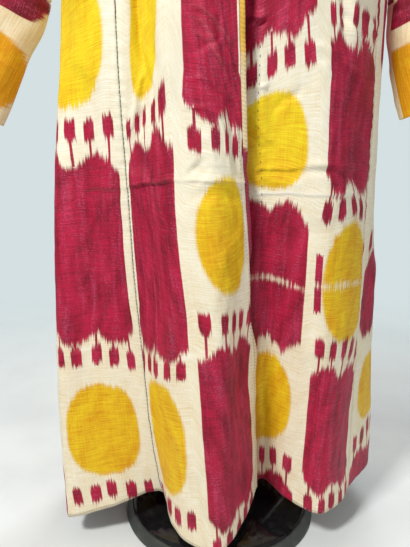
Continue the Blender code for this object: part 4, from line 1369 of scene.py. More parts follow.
def sew(name, line, thread, spacing, length, thickness):
    """Stitches of one thread along a line, as a plain mesh."""
    mesh = bpy.data.meshes.new(name + "_line")
    edges = [(i, i + 1) for i in range(len(line) - 1)]
    mesh.from_pydata([tuple(p) for p in line], edges, [])
    guide = in_scene(name + "_line", mesh)
    modifier = guide.modifiers.new("sew", "NODES")
    modifier.node_group = stitch_tree
    sockets = {item.name: item.identifier for item in stitch_tree.interface.items_tree}
    modifier[sockets["Spacing"]] = spacing
    modifier[sockets["Length"]] = length
    modifier[sockets["Thickness"]] = thickness
    modifier[sockets["Thread"]] = thread
    seen = guide.evaluated_get(bpy.context.evaluated_depsgraph_get())
    sewn = bpy.data.meshes.new_from_object(seen)
    sewn.name = name
    bpy.data.objects.remove(guide)
    sewn.shade_smooth()
    return in_scene(name, sewn)


# %% [markdown]
# ## Materials
# Silk, thread, gloss paint and jersey each catch the light in their own way, so every
# finish is built from nodes. They could be joined by hand in the shader editor. Small
# helpers keep them short here: two do arithmetic, two cut and blend, and one reads a
# noise that is stretched along the threads.

# %% Helpers for materials
def maths(tree, operation, a, b=0.0, c=0.0, clamp=False):
    """One step of arithmetic."""
    inputs = {0: a, 1: b, 2: c}
    return node(tree, "ShaderNodeMath", inputs, operation=operation, use_clamp=clamp).outputs[0]


def times(tree, a, b, plus=0.0, clamp=False):
    """a times b, plus what is added."""
    return maths(tree, "MULTIPLY_ADD", a, b, plus, clamp)


def cut(tree, value, low, high):
    """0 below low and 1 above high, with a soft step between."""
    inputs = {"Value": value, "From Min": low, "From Max": high}
    return node(tree, "ShaderNodeMapRange", inputs, interpolation_type="SMOOTHSTEP").outputs[0]


def blend(tree, share, first, second, blend_type="MIX"):
    """The first colour where share is 0 and the second where it is 1."""
    made = node(tree, "ShaderNodeMix", {0: share}, data_type="RGBA", blend_type=blend_type)
    for index, value in ((6, first), (7, second)):
        if isinstance(value, bpy.types.NodeSocket):
            tree.links.new(value, made.inputs[index])
        else:
            made.inputs[index].default_value = value
    return made.outputs[2]


def grainy(tree, x, y, width, length, seed, detail=1.0):
    """Noise from about -0.25 to 0.25, width across and length along, in metres.

    Each axis leans a little on the other, or the noise's own grid would show as lines.
    """
    leaned_x = times(tree, y, 0.29 / length, times(tree, x, 1 / width))
    leaned_y = times(tree, x, 0.37 / width, times(tree, y, 1 / length))
    inputs = {"X": leaned_x, "Y": leaned_y, "Z": float(seed)}
    vector = node(tree, "ShaderNodeCombineXYZ", inputs).outputs[0]
    inputs = {"Vector": vector, "Scale": 1.0, "Detail": detail, "Roughness": 0.5}
    made = node(tree, "ShaderNodeTexNoise", inputs)
    return maths(tree, "SUBTRACT", made.outputs[0], 0.5)


# %% Groups and materials
def new_group(name, inputs, outputs):
    """An empty group, with what it is given and what it puts out."""
    tree = bpy.data.node_groups.new(name, "ShaderNodeTree")
    for label, value in inputs:
        kind = "NodeSocketColor" if isinstance(value, tuple) else "NodeSocketFloat"
        socket = tree.interface.new_socket(label, in_out="INPUT", socket_type=kind)
        socket.default_value = value
    for label, kind in outputs:
        tree.interface.new_socket(label, in_out="OUTPUT", socket_type=kind)
    given = tree.nodes.new("NodeGroupInput")
    result = tree.nodes.new("NodeGroupOutput")
    return tree, given.outputs, result.inputs


def use_group(tree, group, **inputs):
    """A group placed in a material, with its own values."""
    made = tree.nodes.new("ShaderNodeGroup")
    made.node_tree = group
    for label, value in inputs.items():
        label = label.replace("_", " ")
        if isinstance(value, bpy.types.NodeSocket):
            tree.links.new(value, made.inputs[label])
        else:
            made.inputs[label].default_value = value
    return made.outputs


def new_material(name, **constants):
    """A Principled material. Sizes that are the same all over go on its own sockets."""
    made = bpy.data.materials.new(name)
    made.use_nodes = True
    shader = made.node_tree.nodes["Principled BSDF"]
    for label, value in constants.items():
        shader.inputs[label.replace("_", " ")].default_value = value
    return made, made.node_tree, shader.inputs


# %% [markdown]
# ## Weave
# Adras has a fine silk warp packed over a thicker cotton weft, so it shows small level
# ribs. Some wefts are thicker than others, and those slubs catch the light as level
# streaks. The edging and the form's jersey need the same kind of relief with other
# sizes, so it is one group with named inputs. Real threads would need millions of faces.

# %% A group for ribs and slubs
def make_weave_group():
    """Height is for relief, and Shade makes a slub a little lighter or darker."""
    inputs = [("Across", 0.0), ("Along", 0.0), ("Rib", 0.0011), ("Slub", 0.5)]
    outputs = [("Height", "NodeSocketFloat"), ("Shade", "NodeSocketFloat")]
    tree, given, result = new_group("ribbed weave", inputs, outputs)
    across, along = given["Across"], given["Along"]
    wander = times(tree, grainy(tree, across, along, 0.009, 0.003, 3.0), 0.0040)
    phase = maths(tree, "DIVIDE", maths(tree, "ADD", along, wander), given["Rib"])
    rib = maths(tree, "SINE", times(tree, phase, 2 * math.pi))
    thick = grainy(tree, across, along, 0.034, 0.0017, 11.0, 2.0)
    slub = times(tree, thick, given["Slub"])
    fine = grainy(tree, across, along, 0.0007, 0.006, 17.0)
    height = times(tree, rib, 0.015, times(tree, slub, 2.4))
    height = maths(tree, "ADD", height, times(tree, fine, 0.5))
    shade = times(tree, slub, 1.0, times(tree, fine, 0.35))
    tree.links.new(height, result["Height"])
    tree.links.new(shade, result["Shade"])
    return tree


def woven_finish(tree, shader, weave, rough, shine, strength, distance=0.0006):
    """Roughness and relief that follow a weave."""
    uneven = times(tree, weave["Shade"], shine, rough)
    tree.links.new(uneven, shader["Roughness"])
    inputs = {"Strength": strength, "Distance": distance, "Height": weave["Height"]}
    bump = node(tree, "ShaderNodeBump", inputs)
    tree.links.new(bump.outputs[0], shader["Normal"])


weave_group = make_weave_group()
print("weave group:", len(weave_group.nodes), "nodes")

# %% [markdown]
# ## The dye
# This group turns the chart's slopes into crimson, yellow and cream. Each warp thread
# has slipped a little, so a noise that is narrow across and long along is added to a
# slope before it is cut. That feathers the ends of a motif, while its sides, which
# depend only on which thread is dyed, stay sharp.

# %% Colours of the dye
# The warm cream and the amber give random tone, and also painted shade towards the hem.
CREAM = (0.82, 0.78, 0.63, 1.0)
CREAM_WARM = (0.74, 0.575, 0.34, 1.0)
YELLOW = (0.82, 0.61, 0.016, 1.0)
AMBER = (0.64, 0.27, 0.003, 1.0)
CRIMSON = (0.42, 0.010, 0.046, 1.0)
CRIMSON_DEEP = (0.16, 0.005, 0.016, 1.0)
# Pale crimson: partly uneven dye, partly painted sheen of the silk.
CRIMSON_PALE = (0.52, 0.070, 0.150, 1.0)
# Pale colours for crease crests: rubbed wear, and painted sheen on the chest wrinkles.
RUB_AND_SHEEN_CLOTH = (1.0, 0.98, 0.92, 1.0)
RUB_AND_SHEEN_DYE = (0.66, 0.30, 0.26, 1.0)
# The brown of the painted shadow beside the upper front's edge.
SHADOW_BROWN = (0.50, 0.30, 0.22, 1.0)


# %% Slipped threads and the two columns
def mark(tree, name):
    """One of the slopes of the chart."""
    return node(tree, "ShaderNodeAttribute", attribute_name=name).outputs["Fac"]


def slips(tree, across, along, amount):
    """How far each thread has slipped, and the same with wider lobes added."""
    threads = times(tree, grainy(tree, across, along, 0.0009, 0.25, 1.0), 0.022)
    strands = times(tree, grainy(tree, across, along, 0.0040, 0.20, 2.0), 0.022)
    lobes = times(tree, grainy(tree, across, along, 0.0170, 0.16, 5.0), 0.026)
    slip = times(tree, maths(tree, "ADD", threads, strands), amount)
    return slip, maths(tree, "ADD", slip, lobes)


def in_column(tree, across, along):
    """Which column a point is in, its share across it, and how near its side it is."""
    loom = maths(tree, "FLOORED_MODULO", across, LOOM)
    second = maths(tree, "GREATER_THAN", loom, LOOM / 2)
    shift = SECOND_COLUMN - FIRST_COLUMN
    start = times(tree, second, shift, FIRST_COLUMN)
    share = maths(tree, "DIVIDE", maths(tree, "SUBTRACT", loom, start), COLUMN)
    sway = times(tree, grainy(tree, second, along, 1.0, 0.05, 7.0), 0.012)
    beside = maths(tree, "SUBTRACT", maths(tree, "ADD", share, sway), 0.5)
    off_middle = maths(tree, "ABSOLUTE", beside)
    from_side = maths(tree, "SUBTRACT", 0.5, off_middle)
    return second, share, beside, off_middle, from_side


# %% Blocks, discs and rails
def block_mask(tree, beside, off_middle, ragged):
    """A long block. Each end has two lobes, and its corners are rounded off."""
    two_lobes = maths(tree, "COSINE", times(tree, beside, 4 * math.pi))
    corners = maths(tree, "POWER", times(tree, off_middle, 2.0), 7.0)
    end = times(tree, two_lobes, -0.0085, mark(tree, "block"))
    end = times(tree, corners, -0.0120, end)
    return cut(tree, maths(tree, "ADD", end, ragged), -0.0050, 0.0046)


def disc_mask(tree, off_middle, slip):
    """A disc, a little squarer than an oval, with feathered top and bottom."""
    wide = times(tree, off_middle, 2.46)
    high = maths(tree, "SUBTRACT", 1.0, mark(tree, "disc"))
    high = maths(tree, "MAXIMUM", times(tree, slip, 10.0, high), 0.0)
    oval = maths(tree, "ADD", maths(tree, "POWER", wide, 2.4), maths(tree, "POWER", high, 2.3))
    return maths(tree, "SUBTRACT", 1.0, cut(tree, oval, 0.88, 1.14))


def rail_mask(tree, from_side, ragged):
    """A narrow strip at each side of a column, beside a disc."""
    rails = times(tree, ragged, 0.6, mark(tree, "rails"))
    return times(tree, cut(tree, rails, -0.002, 0.002), cut(tree, from_side, 0.085, 0.075))


# %% Tassels and stems
TASSELS = 5.0
TASSEL_HALF = 0.0165


def tassel_masks(tree, second, share, along, slip, ragged):
    """Five tassels across a column, and the stems that tie them to a block."""
    cell = times(tree, share, TASSELS)
    number = maths(tree, "FLOOR", cell)
    number = times(tree, second, TASSELS + 1, number)
    uneven = grainy(tree, number, along, 0.37, 0.55, 9.0, 0.0)
    lean = times(tree, grainy(tree, number, along, 0.29, 0.50, 13.0, 0.0), 0.35)
    middle = maths(tree, "SUBTRACT", maths(tree, "FRACT", cell), 0.5)
    middle = maths(tree, "ABSOLUTE", maths(tree, "ADD", middle, lean))
    up = times(tree, uneven, 0.020, mark(tree, "tassel_up"))
    up = maths(tree, "ADD", slip, up)
    tall = maths(tree, "SUBTRACT", TASSEL_HALF, maths(tree, "ABSOLUTE", up))
    tall = times(tree, times(tree, middle, middle), -0.050, tall)
    tassel = times(tree, cut(tree, tall, -0.0040, 0.0034), cut(tree, middle, 0.305, 0.262))
    tassel = times(tree, tassel, cut(tree, mark(tree, "tassel"), -0.014, -0.010))
    stem = times(tree, ragged, 0.3, mark(tree, "stem"))
    stem = times(tree, cut(tree, stem, -0.001, 0.001), cut(tree, middle, 0.085, 0.045))
    return tassel, stem


# %% Three uneven colours
def dye_colours(tree, across, along, darkening):
    """Cream, yellow and crimson, each clouded and streaked; cream and yellow carry painted shade
    towards the hem.
    """
    streak = grainy(tree, across, along, 0.0030, 0.14, 21.0, 2.0)
    cloudy = grainy(tree, across, along, 0.026, 0.050, 23.0, 3.0)
    level = grainy(tree, across, along, 0.024, 0.0016, 31.0, 2.0)
    flecks = grainy(tree, across, along, 0.0034, 0.0013, 37.0, 1.0)
    tone = times(tree, streak, 0.5, cloudy)
    tone = times(tree, level, 0.8, tone)
    # Painted shade: cream and yellow turn warmer and darker towards the hem, on top of random tone.
    warm_tone_and_shade = times(tree, cut(tree, along, 0.66, 0.30), 0.26, darkening)
    warm_tone_and_shade = times(tree, tone, 0.9, maths(tree, "SUBTRACT", warm_tone_and_shade, 0.08), True)
    amber_tone_and_shade = times(tree, cut(tree, along, 0.62, 0.46), 0.42, darkening)
    amber_tone_and_shade = times(tree, tone, 1.2, maths(tree, "SUBTRACT", amber_tone_and_shade, 0.10), True)
    deep = times(tree, cloudy, 0.5, tone)
    deep = times(tree, flecks, 0.45, deep)
    deep = times(tree, deep, 1.7, maths(tree, "ADD", darkening, 0.12), True)
    # Paler pink streaks in the crimson: partly uneven dye, partly painted sheen of the silk.
    pale = grainy(tree, across, along, 0.0130, 0.09, 27.0, 3.0)
    pale = maths(tree, "ADD", flecks, times(tree, level, 0.7, pale))
    pale = times(tree, cut(tree, pale, -0.02, 0.38), 0.68)
    cream = blend(tree, warm_tone_and_shade, CREAM, CREAM_WARM)
    yellow = blend(tree, amber_tone_and_shade, YELLOW, AMBER)
    red = blend(tree, pale, blend(tree, deep, CRIMSON, CRIMSON_DEEP), CRIMSON_PALE)
    return cream, yellow, red


# %% A group for the dyed warp
def make_dye_group():
    """Cuts the motifs from the chart's slopes and colours them."""
    outputs = [
        ("Colour", "NodeSocketColor"), ("Dyed", "NodeSocketFloat"),
        ("Across", "NodeSocketFloat"), ("Along", "NodeSocketFloat"),
    ]
    # The second input darkens every colour. Set high on the sleeves, it is partly painted shade.
    tree, given, result = new_group("dyed warp", [("Slip", 1.0), ("Age", 0.24)], outputs)
    uv = node(tree, "ShaderNodeUVMap", uv_map="cloth").outputs[0]
    parts = node(tree, "ShaderNodeSeparateXYZ", {0: uv}).outputs
    across, along = parts[0], parts[1]
    slip, ragged = slips(tree, across, along, given["Slip"])
    second, share, beside, off_middle, from_side = in_column(tree, across, along)

    tassel, stem = tassel_masks(tree, second, share, along, slip, ragged)
    crimson = block_mask(tree, beside, off_middle, ragged)
    for mask in (tassel, stem, rail_mask(tree, from_side, ragged)):
        crimson = maths(tree, "MAXIMUM", crimson, mask)
    crimson = times(tree, crimson, cut(tree, from_side, -0.004, 0.006))
    undyed = cut(tree, times(tree, slip, 1.1, mark(tree, "line")), 0.000, 0.0065)
    dyed = times(tree, undyed, -0.85, 1.0)
    crimson = times(tree, crimson, dyed)
    disc = times(tree, disc_mask(tree, off_middle, slip), dyed)

    cream, yellow, red = dye_colours(tree, across, along, given["Age"])
    colour = blend(tree, crimson, blend(tree, disc, cream, yellow), red)
    tree.links.new(colour, result["Colour"])
    tree.links.new(maths(tree, "MAXIMUM", crimson, disc), result["Dyed"])
    tree.links.new(across, result["Across"])
    tree.links.new(along, result["Along"])
    return tree


dye_group = make_dye_group()
print("groups:", len(bpy.data.node_groups))


# %% The cloth
def make_ikat(name, darkening):
    """Dyed and woven silk. Crease crests are paled, partly as rubbed wear and partly as painted
    sheen, and a painted shadow darkens one strip beside the upper front's edge.
    """
    made, tree, shader = new_material(
        name, Sheen_Weight=0.06, Sheen_Roughness=0.35, Specular_IOR_Level=0.20
    )
    dye = use_group(tree, dye_group, Slip=1.0, Age=darkening)
    weave = use_group(tree, weave_group, Across=dye["Across"], Along=dye["Along"], Slub=0.6)
    # Crease crests paled: rubbed wear, and painted sheen on the chest wrinkles.
    rub_and_sheen = blend(tree, dye["Dyed"], RUB_AND_SHEEN_CLOTH, RUB_AND_SHEEN_DYE)
    wear_and_sheen = times(tree, mark(tree, "wear_and_sheen"), 0.50)
    colour = blend(tree, wear_and_sheen, dye["Colour"], rub_and_sheen)
    # Painted shadow: the strip beside the upper front's edge is multiplied darker.
    painted_shadow = times(tree, mark(tree, "edge_shadow"), 0.75)
    colour = blend(tree, painted_shadow, colour, SHADOW_BROWN, "MULTIPLY")
    light = times(tree, weave["Shade"], 1.5, 0.5)
    grey = node(tree, "ShaderNodeCombineColor", {0: light, 1: light, 2: light}).outputs[0]
    tree.links.new(blend(tree, 0.60, colour, grey, "OVERLAY"), shader["Base Color"])
    woven_finish(tree, shader, weave, 0.56, -0.4, 0.62)
    return made


# The body's cloth, and the same cloth painted darker for the sleeves: partly their own deeper
# colour, partly painted shade, as they hang in shade.
body_ikat = make_ikat("adras ikat", 0.24)
sleeve_ikat = make_ikat("adras ikat of the sleeves", 0.66)
for name, piece in cloth_pieces.items():
    cloth = sleeve_ikat if "sleeve" in name else body_ikat
    piece["object"].data.materials.append(cloth)
print("cloth pieces:", len(cloth_pieces))

# %% [markdown]
# ## Finishes of the edging, threads and form
# The strip's two strands have their own colours, which change where a new length of
# dyed silk was spliced in. The base is polished black with a little dust in the film,
# and its rim is a satin grey. One flat colour for each would do from far away, but it
# looks like plastic up close, so a noise varies every one of them a little.

# %% The edging
EDGING_GOLD = [(0.72, 0.44, 0.05, 1.0), (0.62, 0.33, 0.03, 1.0)]
EDGING_PLAIN = [(0.74, 0.62, 0.40, 1.0), (0.66, 0.50, 0.27, 1.0)]
EDGING_CRIMSON = [(0.34, 0.012, 0.05, 1.0), (0.22, 0.008, 0.034, 1.0)]


def make_edging_material():
    """Crimson for a stretch of the skirt, gold at the top and undyed elsewhere."""
    made, tree, shader = new_material("twisted silk edging", Sheen_Weight=0.08)
    uv = node(tree, "ShaderNodeUVMap", uv_map="cloth").outputs[0]
    parts = node(tree, "ShaderNodeSeparateXYZ", {0: uv}).outputs
    turn = maths(tree, "ADD", parts[0], maths(tree, "DIVIDE", parts[1], -TWIST))
    strand = maths(tree, "FRACT", times(tree, turn, 2.0))
    strand = maths(tree, "ABSOLUTE", maths(tree, "SUBTRACT", strand, 0.5))
    second = cut(tree, strand, 0.16, 0.34)
    splice = times(tree, grainy(tree, parts[0], parts[1], 0.6, 0.006, 4.0), 0.05)
    height = maths(tree, "ADD", parts[1], splice)
    crimson = times(tree, cut(tree, height, 0.407, 0.414), cut(tree, height, 0.655, 0.640))
    top = cut(tree, height, 0.735, 0.785)
    gold = blend(tree, second, *EDGING_GOLD)
    plain = blend(tree, second, *EDGING_PLAIN)
    dark = blend(tree, second, *EDGING_CRIMSON)
    colour = blend(tree, crimson, blend(tree, top, plain, gold), dark)
    tree.links.new(colour, shader["Base Color"])
    weave = use_group(tree, weave_group, Across=parts[0], Along=parts[1], Rib=0.0009, Slub=0.8)
    woven_finish(tree, shader, weave, 0.6, -0.4, 0.6)
    return made


edging_material = make_edging_material()
for made in edgings.values():
    made.data.materials.append(edging_material)
print("edging:", edging_material.name)


# %% Threads
def make_thread(name, colour, light):
    """Sewing thread, whose two tones change every millimetre or so."""
    made, tree, shader = new_material(name, Sheen_Weight=0.2)
    where = node(tree, "ShaderNodeTexCoord").outputs["Object"]
    noise = node(tree, "ShaderNodeTexNoise", {"Vector": where, "Scale": 900.0}).outputs[0]
    tree.links.new(blend(tree, noise, colour, light), shader["Base Color"])
    tree.links.new(times(tree, noise, 0.3, 0.55), shader["Roughness"])
    return made


green_thread = make_thread("dark green thread", (0.016, 0.050, 0.040, 1.0), (0.05, 0.10, 0.08, 1.0))
brown_thread = make_thread("dark brown thread", (0.050, 0.020, 0.020, 1.0), (0.12, 0.06, 0.05, 1.0))
print("threads:", green_thread.name, "and", brown_thread.name)


# %% Dusty finishes of the form
def make_dust_group():
    """A mask of clouds and specks."""
    inputs = [("Amount", 0.3), ("Scale", 60.0)]
    tree, given, result = new_group("film of dust", inputs, [("Mask", "NodeSocketFloat")])
    where = node(tree, "ShaderNodeTexCoord").outputs["Object"]
    inputs = {"Vector": where, "Scale": given["Scale"], "Detail": 6.0, "Roughness": 0.65}
    cloudy = node(tree, "ShaderNodeTexNoise", inputs).outputs[0]
    specks = node(tree, "ShaderNodeTexNoise", {"Vector": where, "Scale": 900.0}).outputs[0]
    mask = maths(tree, "ADD", cut(tree, cloudy, 0.45, 0.75), cut(tree, specks, 0.68, 0.74))
    mask = times(tree, mask, given["Amount"], 0.0, True)
    tree.links.new(mask, result["Mask"])
    return tree


dust_group = make_dust_group()


def dusty_material(name, colour, dust_colour, rough, dusty_rough, amount, **constants):
    """A hard finish with some dust on it."""
    made, tree, shader = new_material(name, **constants)
    mask = use_group(tree, dust_group, Amount=amount)["Mask"]
    tree.links.new(blend(tree, mask, colour, dust_colour), shader["Base Color"])
    lift = times(tree, mask, dusty_rough - rough, rough)
    tree.links.new(lift, shader["Roughness"])
    return made


black_gloss = dusty_material(
    "black gloss", (0.006, 0.006, 0.007, 1.0), (0.12, 0.12, 0.12, 1.0), 0.10, 0.45, 0.10,
    Coat_Weight=0.15, Coat_Roughness=0.05, Specular_IOR_Level=0.32,
)
grey_rim = dusty_material(
    "grey rim", (0.035, 0.040, 0.036, 1.0), (0.16, 0.16, 0.15, 1.0), 0.42, 0.65, 0.25
)
steel = dusty_material(
    "steel", (0.52, 0.52, 0.52, 1.0), (0.35, 0.34, 0.33, 1.0), 0.26, 0.5, 0.3, Metallic=1.0
)


# %% Jersey
def make_jersey():
    """Thin knitted cotton, whose ribs run up the form."""
    made, tree, shader = new_material("jersey", Sheen_Weight=0.35)
    where = node(tree, "ShaderNodeTexCoord").outputs["Object"]
    parts = node(tree, "ShaderNodeSeparateXYZ", {0: where}).outputs
    side = maths(tree, "ARCTAN2", parts[1], parts[0])
    round_form = times(tree, side, 0.12)
    weave = use_group(tree, weave_group, Across=parts[2], Along=round_form, Rib=0.0014, Slub=0.2)
    light = times(tree, weave["Shade"], 1.0, 0.3, True)
    colour = blend(tree, light, (0.60, 0.54, 0.44, 1.0), (0.70, 0.65, 0.56, 1.0))
    tree.links.new(colour, shader["Base Color"])
    woven_finish(tree, shader, weave, 0.85, -0.2, 0.4, 0.0005)
    return made


jersey = make_jersey()
print("materials:", len(bpy.data.materials))

# %% [markdown]
# ## The dress form
# The form is a hard shell with a jersey cover, on a steel pole and a heavy round base.
# Its turned pieces could come from a Screw modifier. Rings of points from a profile do
# the same, make the torso's ovals too, and a Bevel modifier rounds their edges.

# %% Skins through rings
def ringed(name, rings, material, bevel=0.0, hollow=False):
    """A closed skin through rings of points.

    A hollow one joins its last ring to its first, and any other has a cap at each end.
    """
    rings = np.asarray(rings)
    index = np.arange(rings.shape[0] * rings.shape[1]).reshape(rings.shape[:2])
    caps = [] if hollow else [index[0][::-1].tolist(), index[-1].tolist()]
    if hollow:
        index = np.vstack([index, index[:1]])
    faces = corners_of(np.column_stack([index, index[:, 0]])).reshape(-1, 4).tolist()
    bm = bmesh.new()
    points = [bm.verts.new(p) for p in rings.reshape(-1, 3)]
    for face in faces + caps:
        bm.faces.new([points[k] for k in face])
    bmesh.ops.recalc_face_normals(bm, faces=bm.faces[:])
    mesh = bpy.data.meshes.new(name)
    bm.to_mesh(mesh)
    bm.free()
    mesh.materials.append(material)
    mesh.shade_smooth()
    mesh.set_sharp_from_angle(angle=math.radians(38))
    made = in_scene(name, mesh)
    if bevel:
        rounded = made.modifiers.new("rounded edges", "BEVEL")
        rounded.width = bevel
        rounded.segments = 3
        rounded.limit_method = "ANGLE"
        rounded.angle_limit = math.radians(30)
    return made


def turned(name, profile, material, steps=96, bevel=0.0008, hollow=False):
    """A piece turned round the pole, from pairs of radius and height."""
    angles = 2 * math.pi * np.arange(steps) / steps
    rings = [
        np.column_stack([r * np.cos(angles), r * np.sin(angles), np.full(steps, z)])
        for r, z in profile
    ]
    return ringed(name, rings, material, bevel, hollow)


# %% Base, rim, collar, pole and cap
BASE_RADIUS = 0.170
RIM_TOP_RADIUS = 0.159
RIM_INNER_RADIUS = 0.148
RIM_HEIGHT = 0.017
RIM_BEVEL = 0.0009
DOME_HEIGHT = 0.042
COLLAR_TOP_Z = 0.074
POLE_RADIUS = 0.0125
SHELL_BOTTOM_Z = 0.620
SHELL_TOP_Z = 1.375
CAP_TOP_Z = 1.3933
CAP_RADIUS = 0.0530

dome_knots = [
    (RIM_TOP_RADIUS - 0.002, RIM_HEIGHT + SEAM), (0.149, 0.0225), (0.125, 0.0305),
    (0.080, 0.0385), (0.027, DOME_HEIGHT), (0.004, DOME_HEIGHT),
]
dome = through(np.arange(6), dome_knots, np.linspace(0, 5, 36)).tolist()
inside = RIM_INNER_RADIUS - SEAM
foot = [(0.004, 0.0), (inside, 0.0), (inside, RIM_HEIGHT + SEAM)]
collar_foot, pole_foot, cap_foot = DOME_HEIGHT + SEAM, COLLAR_TOP_Z + SEAM, SHELL_TOP_Z + SEAM
collar = [
    (0.002, collar_foot), (0.025, collar_foot), (0.0245, 0.050), (0.0215, 0.066),
    (0.0205, 0.070), (0.017, COLLAR_TOP_Z), (0.002, COLLAR_TOP_Z),
]
pole_top = SHELL_BOTTOM_Z - SEAM
pole = [(0.001, pole_foot), (POLE_RADIUS, pole_foot), (POLE_RADIUS, pole_top), (0.001, pole_top)]
cap = [
    (0.002, cap_foot), (0.049, cap_foot), (0.0525, 1.3775), (CAP_RADIUS, 1.380),
    (CAP_RADIUS, 1.3865), (0.0515, 1.3905), (0.0470, 1.3930), (0.002, CAP_TOP_Z),
]
rim = [
    (RIM_TOP_RADIUS, RIM_HEIGHT), (BASE_RADIUS - 0.001, 0.005), (BASE_RADIUS, 0.002),
    (BASE_RADIUS - 0.001, 0.0), (RIM_INNER_RADIUS, 0.0), (RIM_INNER_RADIUS, RIM_HEIGHT),
]
form = {
    "form_base": turned("form_base_dome", foot + dome, black_gloss, 128, 0.0006),
    "form_collar": turned("form_collar_turned", collar, black_gloss, 64),
    "form_pole": turned("form_pole_tube", pole, steel, 48),
    "form_cap": turned("form_cap_turned", cap, black_gloss, 72),
    "form_rim": turned("form_rim_ring", rim, grey_rim, 128, RIM_BEVEL, hollow=True),
}
print("turned pieces:", ", ".join(form))

# %% Torso
SECTIONS = [  # height, half width, half depth, y of the middle
    (0.620, 0.150, 0.094, 0.000), (0.632, 0.162, 0.104, 0.000), (0.720, 0.172, 0.112, 0.002),
    (0.820, 0.162, 0.104, 0.002), (0.940, 0.126, 0.086, 0.000), (1.040, 0.140, 0.096, -0.002),
    (1.110, 0.152, 0.104, -0.004), (1.170, 0.166, 0.086, 0.000), (1.205, 0.176, 0.066, 0.004),
]
SHOULDERS = [  # half width, half depth, y of the middle
    (0.188, 0.034, 0.005), (0.155, 0.037, 0.006), (0.120, 0.034, 0.006), (0.080, 0.009, 0.002),
]
FORM_NECK = [
    (1.303, 0.053, 0.034, 0.006), (1.318, 0.051, 0.044, 0.008),
    (1.340, 0.050, 0.047, 0.010), (1.375, 0.050, 0.048, 0.010),
]


UNDER_SHOULDER = 0.0024
TORSO_RINGS = 97
TORSO_SIDES = 80


def make_torso():
    """The shell, whose shoulders lie just under the robe's."""
    across = TIP_X - NECK_X
    drop = UNDER_SHOULDER * math.hypot(NECK_Z - TIP_Z, across) / across
    shoulders = [(shoulder_z(w) - drop, w, d, y) for w, d, y in SHOULDERS]
    table = np.array(SECTIONS + shoulders + FORM_NECK)
    smooth = through(np.arange(len(table)), table, np.linspace(0, len(table) - 1, TORSO_RINGS))
    angles = 2 * math.pi * np.arange(TORSO_SIDES) / TORSO_SIDES
    rings = []
    for z, half_width, half_depth, y in smooth:
        ring = [half_width * np.cos(angles), y + half_depth * np.sin(angles), 0 * angles + z]
        rings.append(np.column_stack(ring))
    return ringed("form_torso_cover", rings, jersey)


form["form_torso"] = make_torso()
print("form pieces:", len(form))

# %% [markdown]
# ## Sewing the robe
# The dark green running stitch follows the seam between the right front and its gore.
# Fine dark stitches hold the edging, the hem and the cuffs. They could be drawn in the
# cloth's material, but a raised thread has its own light and shade, so each row is sewn
# along a line of points on the finished cloth.

# %% Rows of stitches
SEAM_STITCH = {"spacing": 0.0062, "length": 0.0066, "thickness": 0.0011}
EDGE_STITCH = {"spacing": 0.0058, "length": 0.0014, "thickness": 0.0009}
TACKING = {"spacing": 0.0115, "length": 0.0034, "thickness": 0.0010}
HEM_STITCH = {"spacing": 0.0040, "length": 0.0013, "thickness": 0.0009}
CUFF_STITCH = {"spacing": 0.0045, "length": 0.0015, "thickness": 0.0009}
HEM_SHARE = 0.0045
stitches = {}


def sew_on(name, label, u, v, thread, sizes):
    """A row on a body piece, by its shares across and up."""
    line = on_cloth(name, u, v)
    stitches.setdefault(name, []).append(sew(f"stitches_{label}", line, thread, **sizes))


seam_up = np.linspace(0.001, 0.998, 400)
sew_on("front_right", "green_seam", 0.0 * seam_up, seam_up, green_thread, SEAM_STITCH)
edge_up = np.linspace(0.004, 1.99, 600)
wave = 0.004 * np.sin(edge_up * 30)
sew_on("front_right", "edge_right", 0.962 + wave, edge_up, brown_thread, EDGE_STITCH)
sew_on("front_left", "edge_left", 0.968 + wave, edge_up, brown_thread, EDGE_STITCH)
tack = np.linspace(0.54, 0.78, 200)
tack_wave = 0.01 * np.sin(tack * 30)
sew_on("front_left", "tacking", 0.625 + tack_wave, tack, brown_thread, TACKING)
across_hem = np.linspace(0.002, 0.998, 500)
level = np.full(len(across_hem), HEM_SHARE)
for name in BODY_GRIDS:
    sew_on(name, "hem_" + name, across_hem, level, brown_thread, HEM_STITCH)
for side in ("right", "left"):
    name = "sleeve_lower_" + side
    piece = cloth_pieces[name]
    ring = piece["points"][-2] + piece["normals"][-2] * ABOVE
    line = np.vstack([ring, ring[:1]])
    stitches[name] = [sew("stitches_cuff_" + side, line, brown_thread, **CUFF_STITCH)]
print("rows of stitches:", sum(len(rows) for rows in stitches.values()))

# %% [markdown]
# ## Joining the frame
# Every piece takes the place of its solid and rides on the one body.

for name, piece in cloth_pieces.items():
    made = piece["object"]
    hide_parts(name)
    for seen in [made, *stitches.get(name, [])]:
        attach(seen, ROOT)
for key, made in edgings.items():
    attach(made, ROOT)
    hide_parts("edging_" + key)
for name, made in form.items():
    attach(made, ROOT)
    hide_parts(name)

# %% [markdown]
# ## Floor, light and camera
# The object stands on a pale floor that fades out into a pale room, so no line shows
# between floor and wall from any side. A curved paper sweep does this in a studio, but
# its wall would hide the back of the robe from a camera that walks round it. So the
# floor is a disc whose edge turns clear, and the world behind it has the wall's colour.
# The key light stands high in front, where it rakes down over the creases. A weak fill
# opens the shadows, and a lamp behind lights the back.

# %% The floor
FLOOR_RADIUS = 2.4
FLOOR_STEPS = 96
FLOOR_PALE = (0.74, 0.77, 0.76, 1.0)
FLOOR_GREY = (0.66, 0.69, 0.69, 1.0)
FLOOR_CLEAR_AT = 1.8
FLOOR_SOLID_TO = 0.35


